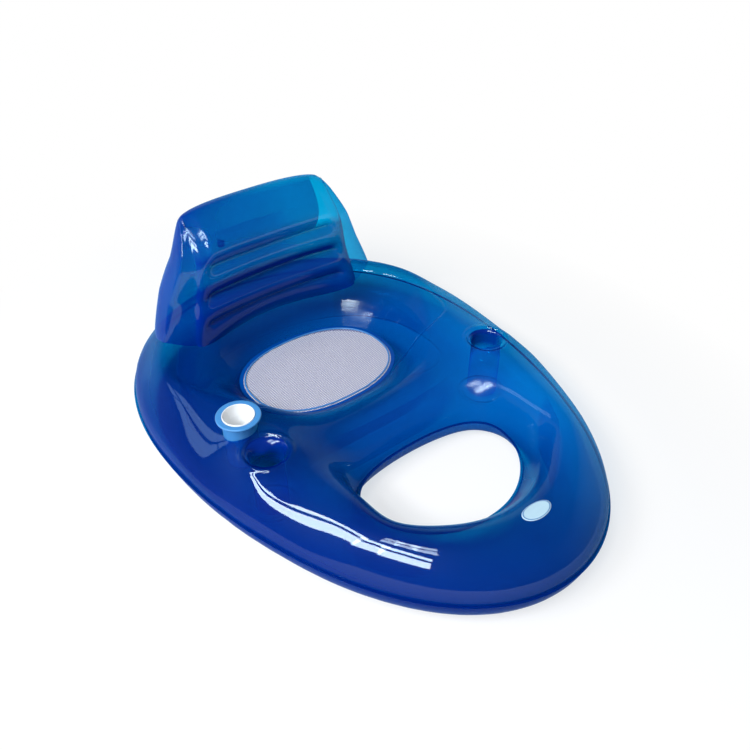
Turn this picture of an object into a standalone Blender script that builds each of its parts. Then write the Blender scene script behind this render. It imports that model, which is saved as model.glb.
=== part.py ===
"""Inflatable pool chair: a one-seat float of welded vinyl film, built piece by piece in metres.

+Z is up, +Y points to the backrest and the sitter looks towards -Y. The origin lies on the surface that
the chair rests on, under the middle of the hull's plan. The hull is two film skins welded round their rims,
with film strips inside that hold its shape. The backrest is a second air chamber welded onto the hull.
"""

import math

import bmesh
import bpy
from mathutils import Matrix, Vector
from mathutils.bvhtree import BVHTree

# Film and clearances
FILM = 0.0004
GAP = 0.0003
CUT_OVERRUN = 0.02
MERGE = 0.0001

# Hull
HULL_LENGTH = 1.50
HULL_WIDTH = 1.102
HULL_HEIGHT = 0.196
ROLL_RADIUS = 0.08
OUTER_SEAM_HEIGHT = 0.085
INNER_SEAM_HEIGHT = 0.066
FLANGE_WIDTH = 0.006
SEAT_FLANGE_WIDTH = 0.010
CONTACT_DEPTH = 0.004
EGG_SHARE = 0.179
EGG_ROUNDING_SHARE = 0.049

# Seat opening and its mesh
SEAT_LENGTH = 0.338
SEAT_WIDTH = 0.458
SEAT_MIDDLE_SHARE = 0.299
SEAT_SQUARENESS = 2.3
MESH_THICKNESS = 0.0008
MESH_PITCH = 0.036
MESH_STRAND = 0.007
WELT_RADIUS = 0.0025
WELT_INSET = 0.0055

# Leg opening
LEG_LENGTH = 0.300
LEG_WIDTH = 0.438
LEG_MIDDLE_SHARE = -0.465
LEG_EGG_SHARE = 0.24
LEG_SQUARENESS = 2.3

# Crossbar between the two openings, as shares of the hull's height
CROSSBAR_REAR_SHARE = 0.62
CROSSBAR_CREST_SHARE = 0.80
CROSSBAR_FRONT_SHARE = 0.66

# Moulded cup wells, one in each arm
WELL_RADIUS = 0.043
WELL_FLOOR_HEIGHT = 0.010
WELL_LAND = 0.011
WELL_RIM_WIDTH = 0.044
WELL_RIM_RISE = 0.008
WELL_ACROSS_SHARE = 0.666
WELL_ALONG_SHARE = -0.128

# Cup holder in the sitter's right arm, with its loose liner
HOLDER_RADIUS = 0.043
HOLDER_WALL = 0.002
HOLDER_HEIGHT = 0.140
HOLDER_FLANGE_RADIUS = 0.056
HOLDER_FLANGE_THICKNESS = 0.006
HOLDER_RISE = 0.036
HOLDER_ACROSS_SHARE = 0.680
HOLDER_ALONG_SHARE = 0.018
LINER_WALL = 0.0025
LINER_RIM_RISE = 0.0015

# Backrest
BACKREST_TOP = 0.519
BACKREST_FOOT = 0.10
BACKREST_BASE_WIDTH = 0.735
BACKREST_TOP_WIDTH = 0.452
BACKREST_BASE_DEPTH = 0.215
BACKREST_SQUARENESS = 3.2
BACKREST_SEAM_INSET = 0.086
BACKREST_CHEEK_DEPTH = 0.055
BACKREST_HOLLOW = 0.110
RIB_DEPTH = 0.026
GROOVE_HEIGHTS = (0.213, 0.298, 0.391)
GROOVE_HALF_SHARE = 0.86
BACKREST_HINGE_HEIGHT = 0.190

# Air valves
VALVE_FLANGE_RADIUS = 0.013
VALVE_NECK_RADIUS = 0.0075
VALVE_BORE_RADIUS = 0.0055
VALVE_NECK_HEIGHT = 0.009
VALVE_NECK_DEPTH = 0.008
VALVE_SHEET = 0.0012
STOPPER_CAP_RADIUS = 0.0085
STOPPER_CAP_HEIGHT = 0.0025
STOPPER_PLUG_LENGTH = 0.007
FLAP_THICKNESS = 0.0008
HULL_VALVE_SETBACK = 0.053

# Oval plate on the foot roll
LABEL_LENGTH = 0.082
LABEL_WIDTH = 0.044
LABEL_THICKNESS = 0.0004
LABEL_ALONG_SHARE = -0.825

# Inner film strips, as shares of the hull's and the openings' sizes
STRIP_REACH_SHARE = 0.43
REAR_STRIP_SHARE = -0.055
FRONT_STRIP_SHARE = -0.165

# How finely the soft forms are divided
HULL_LEVELS = 1
ROUND_STEPS = 24
SMALL_STEPS = 16
BACKREST_COLUMNS = 16
BACKREST_ROWS = 4
WELT_POINTS = 48
FIT_ROUNDS = 8
NEIGHBOUR_SHARE = 0.16667

# Hull cage: one station an entry, from the middle of the rear to the middle of the foot.
# Angles are in degrees round the egg. The shares run from the outer seam to the opening's seam.
STATION_ANGLES = (0, 15, 30, 45, 60, 75, 90, 97.5, 105, 120, 135, 150, 165, 180)
WELL_STATION = 7
SEAT_ANGLES = (0, 22, 44, 64, 83, 101, 120, 150, 180)
LEG_ANGLES = (0, 34, 60, 82, 106, 131, 156, 180)
CREST_SHARES = (0.34, 0.34, 0.33, 0.31, 0.29, 0.30, 0, 0, 0, 0.38, 0.43, 0.46, 0.47, 0.47)
VALLEY_SHARES = (0.60, 0.58, 0.53, 0.46, 0.41, 0.42, 0, 0, 0, 0.63, 0.70, 0.74, 0.76, 0.76)
VALLEY_HEIGHT_SHARES = (
    0.94, 0.93, 0.91, 0.89, 0.88, 0.90, 0.93, 0.90, 0.90, 0.89, 0.88, 0.88, 0.88, 0.88,
)
BOWL_HEIGHT_SHARES = (0.78, 0.78, 0.77, 0.76, 0.76, 0.78, 0.76, 0.50, 0.48)
BOWL_FOOT_HEIGHT_SHARES = (0.53, 0.53, 0.53, 0.53, 0.53, 0.53, 0.50, 0.42, 0.41)
BOWL_SHARE = 0.48
BOWL_FOOT_SHARE = 0.80
LEG_WALL_SHARE = 0.58
LEG_WALL_HEIGHT_SHARE = 0.54
SHOULDER_INSET = 0.045
SHOULDER_HEIGHT_SHARE = 0.78
CREST_HEIGHT_SHARE = 1.04
RISE_HEIGHT_SHARE = 0.31
LAND_HEIGHT_SHARE = 0.955
CROSSBAR_HALF_SHARE = 0.14
CROSSBAR_REAR_ALONG_SHARE = -0.017
CROSSBAR_CREST_ALONG_SHARE = -0.110
CROSSBAR_FRONT_ALONG_SHARE = -0.205
KEEL_INSET = 0.050
KEEL_MIDDLE_SHARE = 0.50
KEEL_INNER_SHARE = 0.84
KEEL_WALL_HEIGHT_SHARE = 0.23
KEEL_INNER_HEIGHT_SHARE = 0.08

# Backrest's taper from its foot to its top, and the rounding of its ribs
STRAIGHT_SHARE = 0.20
TAPER_POWER = 1.15
SEAM_POWER = 1.5
SWELL_POWER = 4.0
TOP_DROP_SHARE = 0.40
TOP_DROP_POWER = 6
RIB_POWER = 0.7
RIB_END_POWER = 5
TOP_RIB_SHARE = 0.30
GROOVE_FADE_SHARE = 0.07

# Backrest's front line and hollow at its foot, its three grooves and its top. The line's shares are of
# half the hull's length, the hollow's of the greatest hollow.
FRONT_LINE_SHARES = (0.552, 0.565, 0.578, 0.568, 0.676)
HOLLOW_SHARES = (1.0, 0.24, 0.22, 0.08, 0.18)

SEAM_HALF = FILM + GAP / 2
MESH_SEAM_HALF = FILM + GAP + MESH_THICKNESS / 2
BLUE = (0.0, 0.09, 0.40, 1.0)
CYAN = (0.0, 0.30, 0.65, 1.0)
MESH_LILAC = (0.42, 0.44, 0.62, 1.0)
WHITE = (0.85, 0.88, 0.90, 1.0)
CLEAR = (0.55, 0.65, 0.75, 1.0)


def clear_scene():
    for obj in list(bpy.data.objects):
        bpy.data.objects.remove(obj, do_unlink=True)


def new_collection(name):
    collection = bpy.data.collections.new(name)
    bpy.context.scene.collection.children.link(collection)
    return collection


def new_material(name, colour, roughness, alpha=1.0):
    material = bpy.data.materials.new(name)
    material.use_nodes = True
    shader = material.node_tree.nodes["Principled BSDF"]
    shader.inputs["Base Color"].default_value = colour
    shader.inputs["Roughness"].default_value = roughness
    shader.inputs["Metallic"].default_value = 0.0
    shader.inputs["Alpha"].default_value = alpha
    return material


def mesh_from(name, bm):
    """Closes a bmesh into a new mesh with smooth faces."""
    mesh = bpy.data.meshes.new(name)
    bm.to_mesh(mesh)
    bm.free()
    mesh.shade_smooth()
    mesh.set_sharp_from_angle(angle=math.radians(40))
    return mesh


class Chair:
    """Holds the two collections and adds named pieces and hidden cutters to them."""

    def __init__(self):
        self.parts = new_collection("inflatable_pool_chair")
        self.cutters = new_collection("cutters")

    def piece(self, name, mesh, material):
        obj = bpy.data.objects.new(name, mesh)
        obj.data.materials.clear()
        obj.data.materials.append(material)
        for polygon in obj.data.polygons:
            polygon.material_index = 0
        self.parts.objects.link(obj)
        return obj

    def cutter(self, name, mesh):
        obj = bpy.data.objects.new(name, mesh)
        obj.hide_render = True
        obj.display_type = "WIRE"
        self.cutters.objects.link(obj)
        return obj


def evaluated(obj):
    """The object's mesh with its modifiers applied, as a new mesh in the object's own space."""
    graph = bpy.context.evaluated_depsgraph_get()
    bpy.context.view_layer.update()
    return bpy.data.meshes.new_from_object(obj.evaluated_get(graph))


def cut(obj, cutter, operation="DIFFERENCE"):
    boolean = obj.modifiers.new(cutter.name, "BOOLEAN")
    boolean.operation = operation
    boolean.solver = "EXACT"
    boolean.object = cutter


def thicken(obj, thickness, offset=-1.0):
    solidify = obj.modifiers.new("film", "SOLIDIFY")
    solidify.thickness = thickness
    solidify.offset = offset
    solidify.use_even_offset = True


def turn(obj, steps):
    """Turns a profile round the object's own Z axis."""
    screw = obj.modifiers.new("turn", "SCREW")
    screw.steps = steps
    screw.render_steps = steps
    screw.use_merge_vertices = True
    screw.merge_threshold = MERGE
    screw.use_normal_calculate = False


def profile_mesh(name, points, closed):
    """An edge chain of (radius, height) points, down the outer side first."""
    bm = bmesh.new()
    chain = [bm.verts.new((radius, 0.0, height)) for radius, height in points]
    for start, end in zip(chain, chain[1:]):
        bm.edges.new((start, end))
    if closed:
        bm.edges.new((chain[-1], chain[0]))
    mesh = bpy.data.meshes.new(name)
    bm.to_mesh(mesh)
    bm.free()
    return mesh


def turned(chair, name, points, material, place, steps=ROUND_STEPS, closed=True):
    obj = chair.piece(name, profile_mesh(name, points, closed), material)
    obj.matrix_world = place
    turn(obj, steps)
    return obj


def drill(chair, name, radius, low, high, place):
    """A hidden cylinder along the place's own Z axis, from low to high."""
    bm = bmesh.new()
    bmesh.ops.create_cone(
        bm, cap_ends=True, segments=ROUND_STEPS, radius1=radius, radius2=radius, depth=high - low
    )
    bmesh.ops.translate(bm, verts=bm.verts, vec=(0.0, 0.0, (low + high) / 2))
    mesh = bpy.data.meshes.new(name)
    bm.to_mesh(mesh)
    bm.free()
    obj = chair.cutter(name, mesh)
    obj.matrix_world = place
    return obj


def signed_power(value, power):
    return math.copysign(abs(value) ** power, value)


def hull_edge(degrees, inset=0.0):
    """A point of the hull's egg-shaped plan, moved in from the outer seam by the inset."""
    angle = math.radians(degrees)
    long_half = HULL_LENGTH / 2 - ROLL_RADIUS
    wide_half = HULL_WIDTH / 2 - ROLL_RADIUS

    def middle(turned_to):
        swell = 1 + EGG_SHARE * math.cos(turned_to) + EGG_ROUNDING_SHARE * math.cos(2 * turned_to)
        return Vector((wide_half * math.sin(turned_to) * swell, long_half * math.cos(turned_to)))

    step = math.radians(0.5)
    along = middle(angle + step) - middle(angle - step)
    outward = Vector((-along.y, along.x)).normalized()
    return middle(angle) + outward * (ROLL_RADIUS - inset)


def seat_edge(degrees, grow=0.0):
    """A point of the seat mesh's rounded outline. 0 degrees is at the rear."""
    angle = math.radians(degrees)
    across = SEAT_WIDTH / 2 + grow
    along = SEAT_LENGTH / 2 + grow
    power = 2 / SEAT_SQUARENESS
    middle = SEAT_MIDDLE_SHARE * HULL_LENGTH / 2
    return Vector(
        (
            across * signed_power(math.sin(angle), power),
            middle + along * signed_power(math.cos(angle), power),
        )
    )


def leg_edge(degrees, grow=0.0):
    """A point of the leg opening's egg. 0 degrees is at the crossbar."""
    angle = math.radians(degrees)
    across = LEG_WIDTH / 2 + grow
    along = LEG_LENGTH / 2 + grow
    power = 2 / LEG_SQUARENESS
    middle = LEG_MIDDLE_SHARE * HULL_LENGTH / 2
    swell = 1 + LEG_EGG_SHARE * math.cos(angle)
    return Vector(
        (
            across * signed_power(math.sin(angle), power) * swell,
            middle + along * signed_power(math.cos(angle), power),
        )
    )


def well_middle():
    return Vector((WELL_ACROSS_SHARE * HULL_WIDTH / 2, WELL_ALONG_SHARE * HULL_LENGTH / 2))


def lifted(point, height):
    return Vector((point.x, point.y, height))


class HullCage:
    """Half of a hull skin's coarse cage, at x >= 0, as rings of points joined by quads."""

    def __init__(self):
        self.bm = bmesh.new()
        self.crease = self.bm.edges.layers.float.new("crease_edge")

    def ring(self, points):
        return [self.bm.verts.new(point) for point in points]

    def loft(self, ring_a, ring_b, closed=False, flange=False):
        """Joins two rings of equal count, and marks the faces of a weld flange."""
        count = len(ring_a)
        for index in range(count if closed else count - 1):
            after = (index + 1) % count
            face = self.bm.faces.new((ring_a[index], ring_a[after], ring_b[after], ring_b[index]))
            face.material_index = int(flange)

    def sharpen(self, ring, closed=False):
        count = len(ring)
        for index in range(count if closed else count - 1):
            edge = self.bm.edges.get((ring[index], ring[(index + 1) % count]))
            edge[self.crease] = 1.0

    def finish(self, name, facing):
        """Mirrors and smooths the half cage, and turns its faces up (1) or down (-1)."""
        cage = bpy.data.objects.new(name, bpy.data.meshes.new(name))
        bmesh.ops.recalc_face_normals(self.bm, faces=self.bm.faces)
        if sum(face.normal.z * face.calc_area() for face in self.bm.faces) * facing < 0:
            bmesh.ops.reverse_faces(self.bm, faces=self.bm.faces)
        self.bm.to_mesh(cage.data)
        self.bm.free()
        bpy.context.scene.collection.objects.link(cage)
        mirror = cage.modifiers.new("halves", "MIRROR")
        mirror.use_clip = True
        mirror.merge_threshold = MERGE
        smooth = cage.modifiers.new("smooth", "SUBSURF")
        smooth.levels = HULL_LEVELS
        smooth.render_levels = HULL_LEVELS
        mesh = evaluated(cage)
        bpy.data.objects.remove(cage, do_unlink=True)
        for vertex in mesh.vertices:
            vertex.co.z = max(vertex.co.z, 0.0)
        return mesh


def fitted(points):
    """Cage points whose smoothed ring passes through the given points, mirrored at both ends."""
    flip = Vector((-1.0, 1.0, 1.0))
    controls = [point.copy() for point in points]
    for _ in range(FIT_ROUNDS):
        chain = [controls[1] * flip, *controls, controls[-2] * flip]
        pulls = [(low + high - 2 * here) * NEIGHBOUR_SHARE for low, here, high in zip(chain, chain[1:], chain[2:])]
        controls = [point - pull for point, pull in zip(points, pulls)]
    return controls


def seam_points(angles, edge, grow, height):
    return [lifted(edge(angle, grow), height) for angle in angles]


def between(ring_a, ring_b, share, heights):
    """A ring of plan points a share of the way from one ring to another."""
    return [
        lifted(start.co.xy.lerp(end.xy, share), height)
        for start, end, height in zip(ring_a, ring_b, heights)
    ]


def hull_targets():
    """The plan point on the opening's seam that each station's section runs to."""
    seat = seam_points(SEAT_ANGLES, seat_edge, SEAT_FLANGE_WIDTH, INNER_SEAM_HEIGHT)
    leg = seam_points(LEG_ANGLES, leg_edge, FLANGE_WIDTH, INNER_SEAM_HEIGHT)
    return seat, leg


def station_ring(shares, heights):
    """One ring round the hull, each point a share of the way from the outer seam inwards."""
    seat, leg = hull_targets()
    points = []
    for index, angle in enumerate(STATION_ANGLES):
        outer = hull_edge(angle, FLANGE_WIDTH)
        inner = seat[index] if index < WELL_STATION else leg[max(index - WELL_STATION + 1, 2)]
        points.append(lifted(outer.lerp(inner.xy, shares[index]), heights[index]))
    return points


def edge_ring(inset, height):
    """A cage ring that runs parallel to the outer seam."""
    return fitted([lifted(hull_edge(angle, inset), height) for angle in STATION_ANGLES])


def well_block(points, column):
    """Moves a ring's three points beside the well onto the square that carries the well."""
    reach = WELL_RADIUS + WELL_LAND + WELL_RIM_WIDTH
    middle = well_middle()
    for offset in (-1, 0, 1):
        index = WELL_STATION + offset
        place = middle + Vector((column * reach, -offset * reach))
        points[index] = lifted(place, points[index].z)
    return points


def crossbar_points(along_share, height):
    """The crossbar's two cage points of one line: one beside the arm and one in the middle."""
    along = along_share * HULL_LENGTH / 2
    half = CROSSBAR_HALF_SHARE * HULL_WIDTH
    return [Vector((half, along, height)), Vector((0.0, along, height))]


def upper_skin_mesh():
    cage = HullCage()
    count = len(STATION_ANGLES)
    seam_height = OUTER_SEAM_HEIGHT + SEAM_HALF
    rise = seam_height + RISE_HEIGHT_SHARE * (HULL_HEIGHT - OUTER_SEAM_HEIGHT)

    flange = cage.ring(edge_ring(0.0, seam_height))
    seam = cage.ring(edge_ring(FLANGE_WIDTH, seam_height))
    wall = cage.ring(edge_ring(FLANGE_WIDTH, rise))
    shoulder = cage.ring(well_block(edge_ring(SHOULDER_INSET, SHOULDER_HEIGHT_SHARE * HULL_HEIGHT), 1))
    crest_heights = (CREST_HEIGHT_SHARE * HULL_HEIGHT,) * count
    crest = cage.ring(well_block(fitted(station_ring(CREST_SHARES, crest_heights)), 0))
    valley_heights = [share * HULL_HEIGHT for share in VALLEY_HEIGHT_SHARES]
    valley = cage.ring(well_block(fitted(station_ring(VALLEY_SHARES, valley_heights)), -1))

    cage.loft(flange, seam, flange=True)
    cage.loft(seam, wall)
    cage.loft(wall, shoulder)
    cage.sharpen(seam)
    first = WELL_STATION - 1
    last = WELL_STATION + 1
    for low, high in ((0, first), (last, count - 1)):
        cage.loft(shoulder[low : high + 1], crest[low : high + 1])
        cage.loft(crest[low : high + 1], valley[low : high + 1])
    add_well(cage, shoulder, crest, valley)

    rear = cage.ring(crossbar_points(CROSSBAR_REAR_ALONG_SHARE, CROSSBAR_REAR_SHARE * HULL_HEIGHT))
    crown = cage.ring(crossbar_points(CROSSBAR_CREST_ALONG_SHARE, CROSSBAR_CREST_SHARE * HULL_HEIGHT))
    front = cage.ring(crossbar_points(CROSSBAR_FRONT_ALONG_SHARE, CROSSBAR_FRONT_SHARE * HULL_HEIGHT))
    cage.loft([valley[first], *rear], [valley[WELL_STATION], *crown])
    cage.loft([valley[WELL_STATION], *crown], [valley[last], *front])

    seat_targets, leg_targets = [fitted(targets) for targets in hull_targets()]
    for target in seat_targets:
        target.z = INNER_SEAM_HEIGHT + MESH_SEAM_HALF
    for target in leg_targets:
        target.z = INNER_SEAM_HEIGHT + SEAM_HALF
    seat_top = valley[: first + 1] + rear
    bowl = cage.ring(
        between(seat_top, seat_targets, BOWL_SHARE, [share * HULL_HEIGHT for share in BOWL_HEIGHT_SHARES])
    )
    foot_heights = [share * HULL_HEIGHT for share in BOWL_FOOT_HEIGHT_SHARES]
    bowl_foot = cage.ring(between(seat_top, seat_targets, BOWL_FOOT_SHARE, foot_heights))
    seat_seam = cage.ring(seat_targets)
    seat_lip = cage.ring(fitted(seam_points(SEAT_ANGLES, seat_edge, 0.0, seat_targets[0].z)))
    cage.loft(seat_top, bowl)
    cage.loft(bowl, bowl_foot)
    cage.loft(bowl_foot, seat_seam)
    cage.loft(seat_seam, seat_lip, flange=True)
    cage.sharpen(seat_seam)

    leg_top = front[::-1] + valley[last:]
    wall_heights = (LEG_WALL_HEIGHT_SHARE * HULL_HEIGHT,) * len(leg_top)
    leg_wall = cage.ring(between(leg_top, leg_targets, LEG_WALL_SHARE, wall_heights))
    leg_seam = cage.ring(leg_targets)
    leg_lip = cage.ring(fitted(seam_points(LEG_ANGLES, leg_edge, 0.0, leg_targets[0].z)))
    cage.loft(leg_top, leg_wall)
    cage.loft(leg_wall, leg_seam)
    cage.loft(leg_seam, leg_lip, flange=True)
    cage.sharpen(leg_seam)
    return cage.finish("upper_cage", 1)


def add_well(cage, shoulder, crest, valley):
    """Fills the square beside the crossbar with the raised ring and flat land of a cup well."""
    low, middle, high = WELL_STATION - 1, WELL_STATION, WELL_STATION + 1
    square = [
        shoulder[low], shoulder[middle], shoulder[high], crest[high],
        valley[high], valley[middle], valley[low], crest[low],
    ]
    place = well_middle()
    land_height = LAND_HEIGHT_SHARE * HULL_HEIGHT

    def ring_at(radius, height):
        points = []
        for vertex in square:
            outward = (vertex.co.xy - place).normalized()
            points.append(lifted(place + outward * radius, height))
        return cage.ring(points)

    rim = ring_at(WELL_RADIUS + WELL_LAND + WELL_RIM_WIDTH / 2, land_height + WELL_RIM_RISE)
    land = ring_at(WELL_RADIUS + WELL_LAND, land_height)
    cage.loft(square, rim, closed=True)
    cage.loft(rim, land, closed=True)
    cage.bm.faces.new(land)
    cage.sharpen(land, closed=True)


def lower_skin_mesh():
    cage = HullCage()
    count = len(STATION_ANGLES)
    seam_height = OUTER_SEAM_HEIGHT - SEAM_HALF
    below = -CONTACT_DEPTH

    flange = cage.ring(edge_ring(0.0, seam_height))
    seam = cage.ring(edge_ring(FLANGE_WIDTH, seam_height))
    wall = cage.ring(edge_ring(FLANGE_WIDTH, KEEL_WALL_HEIGHT_SHARE * HULL_HEIGHT))
    outer = cage.ring(edge_ring(KEEL_INSET, below))
    middle_ring = fitted(station_ring((KEEL_MIDDLE_SHARE,) * count, (below,) * count))
    middle = cage.ring(well_block(middle_ring, -1))
    cage.loft(flange, seam, flange=True)
    cage.loft(seam, wall)
    cage.loft(wall, outer)
    cage.loft(outer, middle)
    cage.sharpen(seam)

    rear = cage.ring(crossbar_points(CROSSBAR_REAR_ALONG_SHARE, below))
    crown = cage.ring(crossbar_points(CROSSBAR_CREST_ALONG_SHARE, below))
    front = cage.ring(crossbar_points(CROSSBAR_FRONT_ALONG_SHARE, below))
    first = WELL_STATION - 1
    last = WELL_STATION + 1
    cage.loft([middle[first], *rear], [middle[WELL_STATION], *crown])
    cage.loft([middle[WELL_STATION], *crown], [middle[last], *front])

    seat_targets, leg_targets = [fitted(targets) for targets in hull_targets()]
    for target in seat_targets:
        target.z = INNER_SEAM_HEIGHT - MESH_SEAM_HALF
    for target in leg_targets:
        target.z = INNER_SEAM_HEIGHT - SEAM_HALF
    openings = (
        (middle[: first + 1] + rear, seat_targets, SEAT_ANGLES, seat_edge),
        (front[::-1] + middle[last:], leg_targets, LEG_ANGLES, leg_edge),
    )
    for top, targets, angles, edge in openings:
        heights = (KEEL_INNER_HEIGHT_SHARE * HULL_HEIGHT,) * len(top)
        inner = cage.ring(between(top, targets, KEEL_INNER_SHARE, heights))
        inner_seam = cage.ring(targets)
        lip = cage.ring(fitted(seam_points(angles, edge, 0.0, targets[0].z)))
        cage.loft(top, inner)
        cage.loft(inner, inner_seam)
        cage.loft(inner_seam, lip, flange=True)
        cage.sharpen(inner_seam)
    return cage.finish("lower_cage", -1)


def hull_volume_mesh(upper, lower, offset):
    """The inflated hull as one closed solid, without its flanges, grown by the offset."""
    bm = bmesh.new()
    for skin in (upper, lower):
        part = bmesh.new()
        part.from_mesh(skin)
        flanges = [face for face in part.faces if face.material_index == 1]
        bmesh.ops.delete(part, geom=flanges, context="FACES")
        for vertex in part.verts:
            if vertex.is_boundary:
                to_outer = abs(vertex.co.z - OUTER_SEAM_HEIGHT)
                to_inner = abs(vertex.co.z - INNER_SEAM_HEIGHT)
                vertex.co.z = OUTER_SEAM_HEIGHT if to_outer < to_inner else INNER_SEAM_HEIGHT
        mesh = bpy.data.meshes.new("skin_copy")
        part.to_mesh(mesh)
        part.free()
        bm.from_mesh(mesh)
    bmesh.ops.remove_doubles(bm, verts=bm.verts, dist=MERGE)
    return offset_mesh("hull_volume", bm, offset)


def offset_mesh(name, bm, offset):
    """Closes a bmesh with its faces pointing out and each point moved along its normal."""
    bmesh.ops.recalc_face_normals(bm, faces=bm.faces)
    bm.normal_update()
    moves = [vertex.normal * offset * vertex.calc_shell_factor() for vertex in bm.verts]
    for vertex, move in zip(bm.verts, moves):
        vertex.co += move
    mesh = bpy.data.meshes.new(name)
    bm.to_mesh(mesh)
    bm.free()
    return mesh


def joint_axis(chair, name, place, pieces):
    """An empty on a joint's axis that carries the pieces that move with it."""
    axis = bpy.data.objects.new(name, None)
    axis.matrix_world = place
    chair.parts.objects.link(axis)
    for piece in pieces:
        piece.parent = axis
        piece.matrix_parent_inverse = place.inverted()
    return axis


def upright_place(middle, height=0.0):
    return Matrix.Translation((middle.x, middle.y, height))


def holder_middle():
    return Vector((-HOLDER_ACROSS_SHARE * HULL_WIDTH / 2, HOLDER_ALONG_SHARE * HULL_LENGTH / 2))


def along_stops(share, stops, values):
    """Runs straight from one value to the next between the backrest's foot, grooves and top."""
    spans = zip(stops, stops[1:], values, values[1:])
    for low, high, start, end in spans:
        if share <= high:
            return start + (end - start) * (share - low) / (high - low)
    return values[-1]


def backrest_sizes(share, stops):
    """Half widths, inflation, front line and hollow of the backrest at a share of its height."""
    up = max(0.0, (share - STRAIGHT_SHARE) / (1 - STRAIGHT_SHARE))
    half_width = (BACKREST_BASE_WIDTH + (BACKREST_TOP_WIDTH - BACKREST_BASE_WIDTH) * up**TAPER_POWER) / 2
    seam_half = half_width - BACKREST_SEAM_INSET * (1 - up**SEAM_POWER)
    swell = math.sqrt(max(0.0, 1 - up**SWELL_POWER))
    front = along_stops(share, stops, FRONT_LINE_SHARES) * HULL_LENGTH / 2
    hollow = along_stops(share, stops, HOLLOW_SHARES) * BACKREST_HOLLOW
    return half_width, seam_half, swell, front, hollow


def backrest_top(across):
    """The height of the backrest's top seam, which drops at its two corners."""
    return BACKREST_TOP - TOP_DROP_SHARE * RIB_DEPTH * abs(across) ** TOP_DROP_POWER


def backrest_rows():
    """Shares of the backrest's height, with a row on each welded groove."""
    span = BACKREST_TOP - BACKREST_FOOT
    stops = [0.0, *[(height - BACKREST_FOOT) / span for height in GROOVE_HEIGHTS], 1.0]
    rows = [0.0]
    for low, high in zip(stops, stops[1:]):
        for step in range(1, BACKREST_ROWS + 1):
            rows.append(low + (high - low) * step / BACKREST_ROWS)
    return rows, stops


def rib_swell(share, stops):
    """How far a rib stands out between two welded grooves: 0 on a groove and 1 between two."""
    for low, high in zip(stops, stops[1:]):
        if low <= share <= high:
            return math.sin(math.pi * (share - low) / (high - low)) ** RIB_POWER
    return 0.0


def smooth_step(low, high, value):
    share = min(1.0, max(0.0, (value - low) / (high - low)))
    return share * share * (3 - 2 * share)


def front_point(share, across, stops):
    half_width, seam_half, swell, front, hollow = backrest_sizes(share, stops)
    fade = smooth_step(GROOVE_HALF_SHARE - GROOVE_FADE_SHARE, GROOVE_HALF_SHARE + GROOVE_FADE_SHARE, abs(across))
    rib = rib_swell(share, stops)
    bulge = (rib * (1 - fade) + fade * swell) * RIB_DEPTH * math.sqrt(1 - abs(across) ** RIB_END_POWER)
    if share > stops[-2]:
        bulge *= 1 + TOP_RIB_SHARE * rib
    hollow *= 1 - across * across
    height = BACKREST_FOOT + (backrest_top(across) - BACKREST_FOOT) * share
    return Vector((seam_half * across, front + hollow - bulge, height))


def rear_point(share, across, stops):
    half_width, seam_half, swell, front, hollow = backrest_sizes(share, stops)
    start = math.acos(min(1.0, seam_half / half_width))
    even = math.pi / 2 - across * (math.pi / 2 + start)
    matched = math.acos(max(-1.0, min(1.0, seam_half * across / half_width)))
    angle = matched + (even - matched) * min(1.0, 2.0 * swell)
    height = BACKREST_FOOT + (backrest_top(across) - BACKREST_FOOT) * share
    cheek = BACKREST_CHEEK_DEPTH * swell
    middle = front + cheek * math.sin(start)
    if math.sin(angle) <= 0:
        return Vector((half_width * math.cos(angle), middle + cheek * math.sin(angle), height))
    power = 2 / (2 + (BACKREST_SQUARENESS - 2) * min(1.0, 2.0 * swell))
    depth = (BACKREST_BASE_DEPTH - BACKREST_CHEEK_DEPTH) * swell
    side = half_width * signed_power(math.cos(angle), power)
    back = depth * math.sin(angle) ** power + hollow * (1 - swell) * math.sin(angle) ** 2
    return Vector((side, middle + back, height))


def backrest_grid(point_at, behind):
    """One backrest panel as an open grid; the rear one stands back by the seam's thickness."""
    rows, stops = backrest_rows()
    bm = bmesh.new()
    grid = []
    for share in rows:
        line = []
        for column in range(BACKREST_COLUMNS + 1):
            across = 2 * column / BACKREST_COLUMNS - 1
            point = point_at(share, across, stops)
            point.y += behind
            line.append(bm.verts.new(point))
        grid.append(line)
    for low, high in zip(grid, grid[1:]):
        for column in range(BACKREST_COLUMNS):
            bm.faces.new((low[column], low[column + 1], high[column + 1], high[column]))
    return bm


def backrest_panels():
    """The front panel's and the rear panel's open surfaces, facing out."""
    front = backrest_grid(front_point, -SEAM_HALF)
    rear = backrest_grid(rear_point, SEAM_HALF)
    bmesh.ops.reverse_faces(rear, faces=rear.faces)
    return front, rear


def backrest_volume_mesh(offset):
    """The inflated backrest as one closed solid, grown by the offset."""
    bm = bmesh.new()
    for surface in backrest_panels():
        mesh = bpy.data.meshes.new("panel_copy")
        surface.to_mesh(mesh)
        surface.free()
        bm.from_mesh(mesh)
    bmesh.ops.remove_doubles(bm, verts=bm.verts, dist=2 * SEAM_HALF + MERGE)
    bmesh.ops.holes_fill(bm, edges=bm.edges)
    return offset_mesh("backrest_volume", bm, offset)


def add_hull(chair, blue):
    """Both hull skins with their holes, and the solids that trim what meets them."""
    upper = upper_skin_mesh()
    lower = lower_skin_mesh()
    inside = chair.cutter("hull_inside", hull_volume_mesh(upper, lower, -(FILM + GAP)))
    outside = chair.cutter("hull_outside", hull_volume_mesh(upper, lower, GAP))
    skin = chair.piece("hull_upper_skin", upper, blue)
    thicken(skin, FILM)
    floor = chair.piece("hull_lower_skin", lower, blue)
    thicken(floor, FILM)
    return skin, floor, inside, outside


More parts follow.
